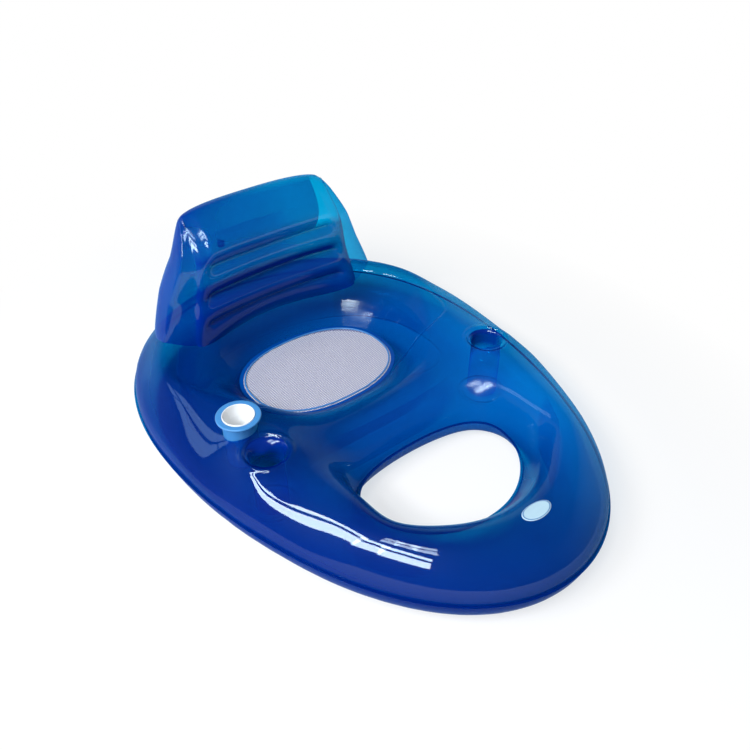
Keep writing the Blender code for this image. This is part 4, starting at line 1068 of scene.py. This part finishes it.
def net_mesh():
    """The seat's net: a grid with a hole in every cell, sagging a little, trimmed to the seam."""
    bm = bmesh.new()
    columns = round((SEAT_WIDTH / 2 + SEAT_FLANGE_WIDTH) / NET_PITCH) + 2
    rows = round((SEAT_LENGTH / 2 + SEAT_FLANGE_WIDTH) / NET_PITCH) + 2
    bmesh.ops.create_grid(bm, x_segments=2 * columns, y_segments=2 * rows, size=1.0)
    bmesh.ops.scale(bm, verts=bm.verts, vec=(columns * NET_PITCH, rows * NET_PITCH, 1.0))
    bmesh.ops.translate(bm, verts=bm.verts, vec=(0.0, SEAT_MIDDLE, INNER_SEAM_HEIGHT))
    centres = np.array([tuple(face.calc_center_median())[:2] for face in bm.faces])
    edge = curved_loop(full_turn(seat_edge, SEAT_FLANGE_WIDTH / 2), NET_SPACING)
    gap = plan_distance(centres, edge)[0]
    bm.faces.ensure_lookup_table()
    faces = list(bm.faces)
    outside = [face for face, distance in zip(faces, gap) if distance > 0]
    inside = [face for face, distance in zip(faces, gap) if distance <= 0]
    bmesh.ops.delete(bm, geom=outside, context="FACES")
    bmesh.ops.inset_individual(bm, faces=inside, thickness=NET_STRAND / 2)
    bmesh.ops.delete(bm, geom=inside, context="FACES")
    for vertex in bm.verts:
        across, along = vertex.co.x / (SEAT_WIDTH / 2), (vertex.co.y - SEAT_MIDDLE) / (SEAT_LENGTH / 2)
        vertex.co.z -= NET_SAG * max(0.0, 1 - (across**2 + along**2))
    return from_bmesh(bm, False)


def label_mesh(hull_tree):
    """An oval plate with a rounded rim, laid on the foot roll."""
    steps = range(PLATE_STEPS + 1)
    profile = [(step / PLATE_STEPS, min(1.0, (PLATE_STEPS - step) / 2) ** 0.5) for step in steps]
    mesh = spun(profile, Matrix.Identity(4), 72)
    for vertex in mesh.vertices:
        x, y = vertex.co.x * LABEL_LENGTH / 2, vertex.co.y * LABEL_WIDTH / 2 + LABEL_MIDDLE
        ground = hull_tree.ray_cast(Vector((x, y, 1.0)), Vector((0, 0, -1)))[0]
        vertex.co = (x, y, ground.z + GAP + PLATE_RISE * vertex.co.z)
    return mesh


def add_valve(name, place, paint, body, stopper_body, flap_body):
    """An air valve's three pieces: the neck with its flange, the stopper in it and the flap under it."""
    origin, *directions = place
    place = Matrix.Translation(origin) @ Matrix(directions).transposed().to_4x4()
    neck_radius, bore, top = VALVE_NECK_RADIUS, VALVE_BORE_RADIUS, VALVE_NECK_HEIGHT
    flange_top = GAP + VALVE_SHEET
    neck = (
        (neck_radius, -VALVE_NECK_DEPTH), (neck_radius, GAP), (VALVE_FLANGE_RADIUS, GAP),
        (VALVE_FLANGE_RADIUS, flange_top), (neck_radius, flange_top), (neck_radius, top), (bore, top),
        (bore, -VALVE_NECK_DEPTH), (neck_radius, -VALVE_NECK_DEPTH),
    )
    seat, plug, cap = top + GAP, bore - GAP, STOPPER_CAP_RADIUS
    plug_foot, cap_top = seat - STOPPER_PLUG_LENGTH, seat + STOPPER_CAP_HEIGHT
    cap_dip = seat + STOPPER_CAP_HEIGHT * 0.8
    stopper = (
        (0.0, plug_foot), (plug * 0.93, plug_foot), (plug, seat), (cap, seat), (cap, cap_top),
        (cap * 0.7, cap_top), (cap * 0.6, cap_dip), (0.0, cap_dip),
    )
    flap_top, flap_radius = -VALVE_NECK_DEPTH - GAP, (neck_radius + bore) / 2
    flap_foot = flap_top - FLAP_THICKNESS
    flap = ((0.0, flap_foot), (flap_radius, flap_foot), (flap_radius, flap_top), (0.0, flap_top))
    for part, profile, rounding, rider, node in (
        ("neck", neck, NECK_ROUNDING, body, "body"),
        ("plug", stopper, STOPPER_ROUNDING, stopper_body, "stopper"),
        ("disc", flap, FLAP_ROUNDING, flap_body, "flap"),
    ):
        mesh = spun(rounded(profile, rounding), place, 40)
        piece(f"{name}_valve_{part}", mesh, paint, rider, f"{name}_valve_{node}")


# Materials

def operator(name, turned=False):
    """A Python operator that adds a Math node. Turned, the socket comes second, as in 1 - mask."""
    def apply(value, other):
        first, second = (other, value) if turned else (value, other)
        return value.paint.math(name, first, second)

    return apply


class Value:
    """A number socket that Python's operators work on."""

    __add__, __radd__ = operator("ADD"), operator("ADD", True)
    __sub__, __rsub__ = operator("SUBTRACT"), operator("SUBTRACT", True)
    __mul__, __rmul__ = operator("MULTIPLY"), operator("MULTIPLY", True)
    __truediv__, __pow__ = operator("DIVIDE"), operator("POWER")

    def __init__(self, paint, socket):
        self.paint, self.socket = paint, socket

    def __abs__(self):
        return self.paint.math("ABSOLUTE", self)


class Paint:
    """A material's node tree, with one method that adds any node."""

    def __init__(self, name):
        self.material = bpy.data.materials.new(name)
        self.material.use_nodes = True
        self.nodes = self.material.node_tree.nodes
        self.links = self.material.node_tree.links
        self.nodes.clear()

    def add(self, kind, settings=None, **sockets):
        node = self.nodes.new(f"ShaderNode{kind}")
        for name, value in (settings or {}).items():
            setattr(node, name, value)
        for name, value in sockets.items():
            key = int(name[1:]) if name[0] == "_" else name.replace("_", " ")
            self.feed(node.inputs[key], value)
        return node

    def feed(self, socket, value):
        if isinstance(value, Value):
            value = value.socket
        if isinstance(value, bpy.types.NodeSocket):
            self.links.new(value, socket)
        else:
            socket.default_value = value

    def math(self, operation, *values):
        sockets = {f"_{index}": value for index, value in enumerate(values)}
        return Value(self, self.add("Math", {"operation": operation}, **sockets).outputs[0])

    def clamp(self, value):
        node = self.add("Math", {"operation": "ADD", "use_clamp": True}, _0=value, _1=0.0)
        return Value(self, node.outputs[0])

    def parts(self, vector):
        """A vector's three numbers."""
        return [Value(self, output) for output in self.add("SeparateXYZ", Vector=vector).outputs]

    def coordinates(self):
        return self.add("TexCoord").outputs["Object"]

    def place(self):
        return self.parts(self.coordinates())

    def attribute(self, name):
        return self.parts(self.add("Attribute", {"attribute_name": name}).outputs["Vector"])

    def noise(self, scale, detail=2.0, vector=None):
        vector = vector or self.coordinates()
        node = self.add("TexNoise", Vector=vector, Scale=scale, Detail=detail, Roughness=0.5)
        return Value(self, node.outputs["Fac"])

    def bell(self, distance):
        """1 where the distance is 0, and falling to 0 on both sides of it."""
        return self.math("EXPONENT", distance ** 2 * -1.0)

    def blend(self, share, first, second):
        return self.add("Mix", {"data_type": "RGBA"}, _0=share, _6=first, _7=second).outputs[2]

    def bump(self, height):
        return self.add("Bump", Height=height, Distance=1.0, Strength=1.0).outputs[0]

    def shader(self, kind, settings=None, **sockets):
        return self.add(kind, settings, **sockets).outputs[0]

    def shaders(self, share, first, second):
        return self.shader("MixShader", _0=share, _1=first, _2=second)

    def finish(self, shader):
        self.add("OutputMaterial", Surface=shader)
        return self.material


def darker(colour, share):
    return tuple(channel * share for channel in colour[:3]) + (1.0,)


def film_material(name, tint, deep, haze, line=None):
    """Clear tinted vinyl film: it tints what is behind it, holds a little light of its own and is glossy."""
    paint = Paint(name)
    height = paint.noise(7.0, 1.0) * FILM_WAVE
    extra = None
    if line:
        height, extra = line(paint, height)
    normal = paint.bump(height)
    facing = Value(paint, paint.add("LayerWeight", Blend=0.5, Normal=normal).outputs["Facing"])
    cloud = paint.noise(5.0, 3.0)
    # Above 0 the film shows its own body colour, and below 0 it is clearer than its tint; the line's painted
    # shade adds to this share
    share = haze + 0.03 * cloud + GRAZING_DYE * facing ** 3
    if extra is not None:
        share = share + extra
    body = paint.shader(
        "BsdfPrincipled", Roughness=0.35, IOR=1.5, Specular_IOR_Level=0.03, Normal=normal,
        Base_Color=paint.blend(cloud, deep, darker(deep, 0.7)),
    )
    tinted, paler = [paint.shader("BsdfTransparent", Color=colour) for colour in (tint, PALE_TINT)]
    clear = paint.shaders(paint.clamp(share * -2.0), tinted, paler)
    film = paint.shaders(paint.clamp(share), clear, body)
    x, y, z = paint.place()
    soft = FILM_ROUGHNESS
    for spot_x, spot_y, reach in SOFT_SPOTS:
        gap = (x - spot_x) ** 2 + (y - spot_y) ** 2
        soft = soft + SPOT_ROUGHNESS * paint.math("EXPONENT", gap * (-1 / reach**2))
    front, edge = [
        paint.shader("BsdfAnisotropic", {"distribution": "GGX"}, Color=colour, Roughness=soft, Normal=normal)
        for colour in (GLOSS, GRAZING_GLOSS)
    ]
    gloss = paint.shaders(paint.clamp(facing * 1.6 - 0.2), front, edge)
    # The film shines less low down, and least in the bowl
    oval = 6 - 6 * (x / BOWL_REACH[0]) ** 2 - 6 * ((y - BOWL_MIDDLE) / BOWL_REACH[1]) ** 2
    bowl = paint.clamp(oval) * paint.clamp((0.105 - z) * 40)
    low = paint.clamp((0.135 - z) * 20)
    shine = (FILM_GLOSS + EDGE_GLOSS * facing ** 5) * (1 - 0.65 * low) * (1 - 0.85 * bowl)
    return paint.finish(paint.shaders(paint.clamp(shine), film, gloss))


def crease_lines(paint, height):
    """Thin creases over the strips' welds, with short puckers across them, and a bead round each cup well."""
    bowl, inner, leg = paint.attribute("creases")
    gap, run, _ = paint.attribute("seam")
    x, y, _ = paint.place()
    bowl_depth = 0.0008 + 0.0018 * paint.clamp((x - 0.16) * 10)
    leg_depth = 0.0004 * paint.clamp((-0.30 - y) * 12)
    creases = ((bowl, 0.005, bowl_depth), (inner, 0.007, 0.0004), (leg, 0.005, leg_depth))
    for distance, width, depth in creases:
        height = height - paint.bell(distance / width) * depth
    ribs = paint.noise(1.0, 2.0, paint.add("CombineXYZ", X=run * 60.0, Y=gap * 7.0).outputs[0])
    fade = paint.math("EXPONENT", gap * -220.0)
    across, along = abs(x) - WELL_MIDDLE.x, y - WELL_MIDDLE.y
    ring = paint.math("SQRT", across ** 2 + along ** 2)
    bead = paint.bell((ring - WELL_BEAD) / 0.007) * (0.6 + 0.8 * paint.noise(34.0, 1.0))
    # The hull's painted shade, kept on the mesh, goes to the film with the creases
    dye = paint.add("Attribute", {"attribute_name": "dye"}).outputs["Fac"]
    return height + ribs * fade * 0.0010 + bead * BEAD_RISE, Value(paint, dye)


def backrest_shade_and_seam(paint, height):
    """Painted shade in the panels, except their clear upper corner on the left; a thin dark seam runs round
    them.
    """
    across, share, side = paint.attribute("rib")
    corner = paint.clamp((across - 0.83 + 0.85 * (1 - share)) * 60.0) * paint.clamp((share - 0.70) * 14.0)
    # Painted shade on the front, deeper low down and towards the sitter's right; it is darker in a band above
    # each groove too
    lower = paint.clamp((0.80 - share) * 2.6)
    bands = 0.0
    for groove_height in GROOVE_HEIGHTS:
        groove = (groove_height - BACKREST_FOOT) / (BACKREST_TOP - BACKREST_FOOT)
        bands = bands + paint.bell((share - groove - 0.06) / 0.04)
    bands = bands * paint.clamp((0.93 - across) * 5.0)
    front = (0.58 + 0.20 * lower + 0.20 * bands + 0.10 * paint.clamp((0.5 - across) * 0.8)) * (1 - corner)
    # Painted shade over the rear panel's side towards the sitter's right
    back = 0.68 * paint.clamp((0.2 - across) * 1.6)
    return height, front * (1 - side) + back * side + 0.35 * paint.bell((1 - across) / 0.005)


def tie_material():
    """A clear inner strip, whose tint fades towards its ends."""
    paint = Paint("tie_film")
    along, up, _ = paint.attribute("ends")
    middle = paint.clamp((1.0 - along ** 2 - 0.5 * up ** 2) * 2.5)
    cloud = paint.noise(6.0, 2.0)
    bare, tinted = [paint.shader("BsdfTransparent", Color=colour) for colour in (CLEAR, TIE_TINT)]
    clear = paint.shaders(middle, bare, tinted)
    blue = paint.blend(cloud, DEEP, PANEL_DEEP)
    body = paint.shader("BsdfPrincipled", Roughness=0.35, Specular_IOR_Level=0.03, Base_Color=blue)
    return paint.finish(paint.shaders(middle * (0.04 + 0.04 * cloud), clear, body))


def vinyl_material(name, colour, roughness, shade=0.85):
    """Solid moulded vinyl or plastic with a faint grain and small changes of tone."""
    paint = Paint(name)
    cloud = paint.noise(18.0, 3.0)
    grain = paint.noise(600.0, 2.0)
    return paint.finish(paint.shader(
        "BsdfPrincipled", IOR=1.5, Coat_Weight=0.3, Roughness=roughness + 0.10 * cloud,
        Base_Color=paint.blend(cloud, colour, darker(colour, shade)),
        Normal=paint.bump(grain * 0.00006 + cloud * 0.0004),
    ))


def net_material():
    """Woven polyester net: two sets of round yarns, each crossing over and under the other."""
    paint = Paint("lilac_net")
    x, y, _ = paint.place()
    warp_wave, weft_wave = [paint.math("SINE", way * (math.pi / NET_PITCH)) for way in (x, y)]
    warp, weft = abs(warp_wave), abs(weft_wave)
    fibre = paint.noise(900.0, 2.0)
    tone = paint.clamp(0.55 * (1 - warp * weft) + 0.25 * fibre + 0.3 * paint.noise(7.0, 2.0))
    yarns = (1 - warp) * 0.0005 + (1 - weft) * 0.0005 + warp_wave * weft_wave * 0.0003 + fibre * 0.0001
    return paint.finish(paint.shader(
        "BsdfPrincipled", Roughness=0.45 + 0.2 * fibre, IOR=1.5,
        Base_Color=paint.blend(tone, NET_DARK, NET_PALE), Normal=paint.bump(yarns),
    ))


def label_material():
    """Bare white vinyl plate with a thin blue line inside its rim."""
    paint = Paint("label_white")
    x, y, _ = paint.place()
    ring = ((x / (LABEL_LENGTH / 2)) ** 2 + ((y - LABEL_MIDDLE) / (LABEL_WIDTH / 2)) ** 2) ** 0.5
    line = paint.bell((ring - 0.90) / 0.035)
    cloud = paint.noise(40.0, 2.0)
    return paint.finish(paint.shader(
        "BsdfPrincipled", Roughness=0.25 + 0.1 * cloud, IOR=1.5, Coat_Weight=0.4,
        Base_Color=paint.blend(line, paint.blend(cloud, LABEL_PALE, LABEL_SHADE), LABEL_LINE),
        Normal=paint.bump(line * 0.0003 + cloud * 0.0003),
    ))


# Pieces on their bodies, in place of the CAD nodes

def build_hull():
    """The hull's film. Returns its tree for rays that drop onto it."""
    hull = subtract(round_foot(hull_mesh()), *well_cutters(), socket_cutter())
    add_creases(hull)
    pucker(hull)
    corners = [vertex.co.copy() for vertex in hull.vertices]
    hull_tree = BVHTree.FromPolygons(corners, [tuple(face.vertices) for face in hull.polygons])
    # The hull's film, with its painted shade and its creases
    hull_film = piece(
        "hull_film", hull, film_material("blue_film", HULL_TINT, DEEP, HULL_HAZE, crease_lines), "hull",
        "hull_upper_skin", "hull_lower_skin", "cup_well_sleeve_left", "cup_well_sleeve_right",
        "cup_well_floor_left", "cup_well_floor_right", "cup_socket_sleeve", "cup_socket_floor",
    )
    return hull_tree


def build_backrest(hull_tree):
    # The backrest's film, with its painted shade and thin seam line
    paint = film_material("backrest_blue", BACKREST_TINT, PANEL_DEEP, 0.0, backrest_shade_and_seam)
    backrest = piece("backrest_film", backrest_mesh(hull_tree), paint, None,
                     "backrest_front_panel", "backrest_rear_panel", sharp=180)
    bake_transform(backrest)


def build_ties():
    """The film strips that hold both chambers in shape."""
    tie_film = tie_material()
    for node, towards in (
        ("crossbar_strip_front", (0, 1, 0)), ("crossbar_strip_rear", (0, 1, 0)),
        ("seat_side_strip_left", (1, 0, 0)), ("seat_side_strip_right", (-1, 0, 0)),
        ("leg_side_strip_left", (1, 0, 0)), ("leg_side_strip_right", (-1, 0, 0)),
    ):
        piece(node.replace("strip", "tie"), strip_sheet(node, Vector(towards)), tie_film, "hull", node)
    for number in (1, 2, 3):
        node = f"backrest_strip_{number}"
        tie = piece(f"backrest_tie_{number}", strip_sheet(node, Vector((0, 0, 1))), tie_film, None, node)
        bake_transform(tie)


def build_net():
    """The stretched net in its weld, with the bead on it."""
    net = piece("seat_net", net_mesh(), net_material(), "hull", "seat_mesh")
    yarn = net.modifiers.new("yarn", "SOLIDIFY")
    yarn.thickness, yarn.offset = MESH_THICKNESS, 0.0
    bead_height = INNER_SEAM_HEIGHT + MESH_THICKNESS / 2 + GAP + WELT_RADIUS
    bead = [lifted(point, bead_height) for point in full_turn(seat_edge, -WELT_INSET, 144)]
    bead_paint = vinyl_material("blue_bead", BEAD_BLUE, 0.3)
    welt = piece("seat_welt", tube("seat_welt", bead, WELT_RADIUS), bead_paint, "hull", "mesh_welt")


def build_seams():
    """The weld flanges: bare film round the hull and the leg opening, and a thicker clamp round the net."""
    weld = film_material("welded_film", HULL_TINT, DEEP, WELD_HAZE)
    clamp_paint = vinyl_material("clamped_film", CLAMP_BLUE, 0.2)
    leg_inset, seat_inset = FLANGE_WIDTH + SEAM_OVERLAP, SEAT_FLANGE_WIDTH + SEAM_OVERLAP
    clamp = 2 * (MESH_SEAM_HALF + FILM)
    for name, edge, insets, count, height, thickness, paint in (
        ("outer_seam", hull_edge, (0.0, leg_inset), 240, OUTER_SEAM_HEIGHT, 2 * SEAM_HALF, weld),
        ("leg_seam", leg_edge, (leg_inset, 0.0), 160, INNER_SEAM_HEIGHT, 2 * SEAM_HALF, weld),
        ("seat_seam", seat_edge, (seat_inset, 0.0), 160, INNER_SEAM_HEIGHT, clamp, clamp_paint),
    ):
        outer, inner = [full_turn(edge, inset, count) for inset in insets]
        piece(name, flange_mesh(outer, inner, height, thickness), paint, "hull")


def build_holder():
    """The flanged cup holder and the loose liner that stands in it."""
    place = upright(HOLDER_MIDDLE)
    flange_foot, floor = HOLDER_TOP - HOLDER_FLANGE_THICKNESS, HOLDER_BASE + HOLDER_WALL
    holder = rounded((
        (0.0, HOLDER_BASE), (HOLDER_RADIUS, HOLDER_BASE), (HOLDER_RADIUS, flange_foot),
        (HOLDER_FLANGE_RADIUS, flange_foot), (HOLDER_FLANGE_RADIUS, HOLDER_TOP),
        (HOLDER_BORE, HOLDER_TOP), (HOLDER_BORE, floor), (0.0, floor),
    ), HOLDER_ROUNDING)
    cyan = vinyl_material("cyan_vinyl", HOLDER_CYAN, 0.28)
    piece("flanged_holder", spun(holder, place), cyan, "hull", "cup_holder")
    outside, foot, rim = HOLDER_BORE - GAP, floor + GAP, HOLDER_TOP + LINER_RIM_RISE
    inside, inner_foot = outside - LINER_WALL, foot + LINER_WALL
    liner = rounded((
        (0.0, foot), (outside, foot), (outside, rim), (inside, rim), (inside, inner_foot), (0.0, inner_foot),
    ), LINER_ROUNDING)
    white = vinyl_material("white_plastic", LINER_WHITE, 0.22, shade=0.97)
    piece("holder_liner", spun(liner, place), white, "cup_liner", "cup_liner")


hull_tree = build_hull()
build_backrest(hull_tree)
build_ties()
build_net()
build_seams()
build_holder()
piece("oval_plate", label_mesh(hull_tree), label_material(), "hull", "oval_label", sharp=80)
valve_vinyl = vinyl_material("valve_vinyl", VALVE_CLEAR, 0.3)
add_valve("hull", HULL_VALVE, valve_vinyl, "hull", "hull_stopper", "hull_flap")
add_valve("backrest", BACKREST_VALVE, valve_vinyl, "backrest", "backrest_stopper", "backrest_flap")


# Camera, floor, backdrop and window panes

def direction(azimuth, elevation):
    """The way from the object to something seen at these angles in degrees."""
    turn, rise = math.radians(azimuth), math.radians(elevation)
    return Vector((math.sin(turn) * math.cos(rise), math.cos(turn) * math.cos(rise), math.sin(rise)))


def aim(obj, place, towards):
    obj.location = place
    obj.rotation_mode = "QUATERNION"
    obj.rotation_quaternion = towards.to_track_quat("-Z", "Y")


def set_camera():
    back = direction(AZIMUTH, ELEVATION)
    lens = bpy.data.cameras.new("camera")
    lens.sensor_width, lens.lens = SENSOR, FOCAL_PIXELS / PHOTO_PIXELS * SENSOR
    camera = linked("camera", lens)
    aim(camera, Vector(CAMERA_TARGET) + back * CAMERA_DISTANCE, -back)
    bpy.context.scene.camera = camera


def set_world():
    world = bpy.data.worlds.new("studio")
    world.use_nodes = True
    background = world.node_tree.nodes["Background"].inputs
    background["Color"].default_value = (1, 1, 1, 1)
    background["Strength"].default_value = WORLD_LIGHT
    bpy.context.scene.world = world
    bpy.context.scene.view_settings.view_transform = "Standard"


def stage(name, bm, height, material):
    """A piece of the studio, which isn't part of the object."""
    bmesh.ops.translate(bm, verts=bm.verts, vec=(0, 0, height))
    mesh = from_bmesh(bm, False)
    mesh.materials.append(material)
    linked(name, mesh)


def pale_floor():
    """Pale paper that keeps the object's shadow, and fades to plain white further away."""
    paint = Paint("pale_floor")
    x, y, _ = paint.place()
    away = paint.math("SQRT", (x / 0.9) ** 2 + (y / 1.15) ** 2)
    white = FLOOR_WHITE + (1 - FLOOR_WHITE) * paint.clamp((away - 0.85) / 0.5)
    paper = paint.shader("BsdfDiffuse", Color=(0.93, 0.93, 0.94, 1.0))
    glow = paint.shader("Emission", Color=(1, 1, 1, 1), Strength=1.0)
    path = paint.add("LightPath").outputs
    direct = Value(paint, path["Is Camera Ray"]) * (1 - paint.clamp(Value(paint, path["Transparent Depth"])))
    seen = direct + Value(paint, path["Is Glossy Ray"]) + Value(paint, path["Is Transmission Ray"])
    return paint.finish(paint.shaders(paint.clamp(seen * white), paper, glow))


def pale_backdrop():
    """A wall that is white on the photo's far side, and dim on its near side and at its top."""
    paint = Paint("pale_backdrop")
    x, y, z = paint.place()
    far = paint.clamp(0.30 + (FAR_WAY[0] * x + FAR_WAY[1] * y) * 0.09)
    bright = far * paint.clamp(1.05 - z / BACKDROP_HEIGHT)
    pale = paint.shader("Emission", Color=(1, 1, 1, 1), Strength=0.95)
    grey = paint.shader("Emission", Color=(0.9, 0.95, 1, 1), Strength=0.07)
    return paint.finish(paint.shaders(bright, grey, pale))


def set_stage():
    floor, wall = bmesh.new(), bmesh.new()
    bmesh.ops.create_circle(floor, cap_ends=True, segments=64, radius=STAGE_RADIUS)
    stage("floor", floor, -FLOOR_DROP, pale_floor())
    bmesh.ops.create_cone(
        wall, cap_ends=False, segments=96, radius1=STAGE_RADIUS, radius2=STAGE_RADIUS, depth=BACKDROP_HEIGHT,
    )
    stage("backdrop", wall, BACKDROP_HEIGHT / 2 - FLOOR_DROP, pale_backdrop())


def window_pane(name, azimuth, elevation, wide, tall, radiance, colour=DAYLIGHT):
    """A bright pane of a window, seen from the object at the given angles in degrees."""
    width, height = [2 * PANE_REACH * math.tan(math.radians(angle) / 2) for angle in (wide, tall)]
    light = bpy.data.lights.new(f"pane_{name}", "AREA")
    light.shape, light.size, light.size_y, light.color = "RECTANGLE", width, height, colour
    light.energy = math.pi * width * height * radiance
    place = Vector(PANE_TARGET) + direction(azimuth, elevation) * PANE_REACH
    aim(linked(f"pane_{name}", light), place, Vector(PANE_TARGET) - place)


def set_windows():
    for number, azimuth, wide, low_row, high_row in WINDOW_PANES:
        window_pane(f"low_{number}", azimuth, low_row, wide, 7.5, WINDOW_LIGHT)
        window_pane(f"high_{number}", azimuth, high_row, wide, 3.5, WINDOW_LIGHT)
    for number, azimuth in enumerate(TOP_AZIMUTHS):
        window_pane(f"top_low_{number}", azimuth, 58.0, 8.0, 5.5, TOP_LIGHT)
        window_pane(f"top_high_{number}", azimuth, 65.5, 8.0, 5.5, TOP_LIGHT)
    for number, azimuth in enumerate(SIDE_AZIMUTHS):
        window_pane(f"side_low_{number}", azimuth, 36.4, 9.5, 5.0, CURTAIN_LIGHT, CURTAINED)
        window_pane(f"side_high_{number}", azimuth, 42.6, 9.5, 4.4, CURTAIN_LIGHT, CURTAINED)


set_camera()
set_world()
set_stage()
set_windows()
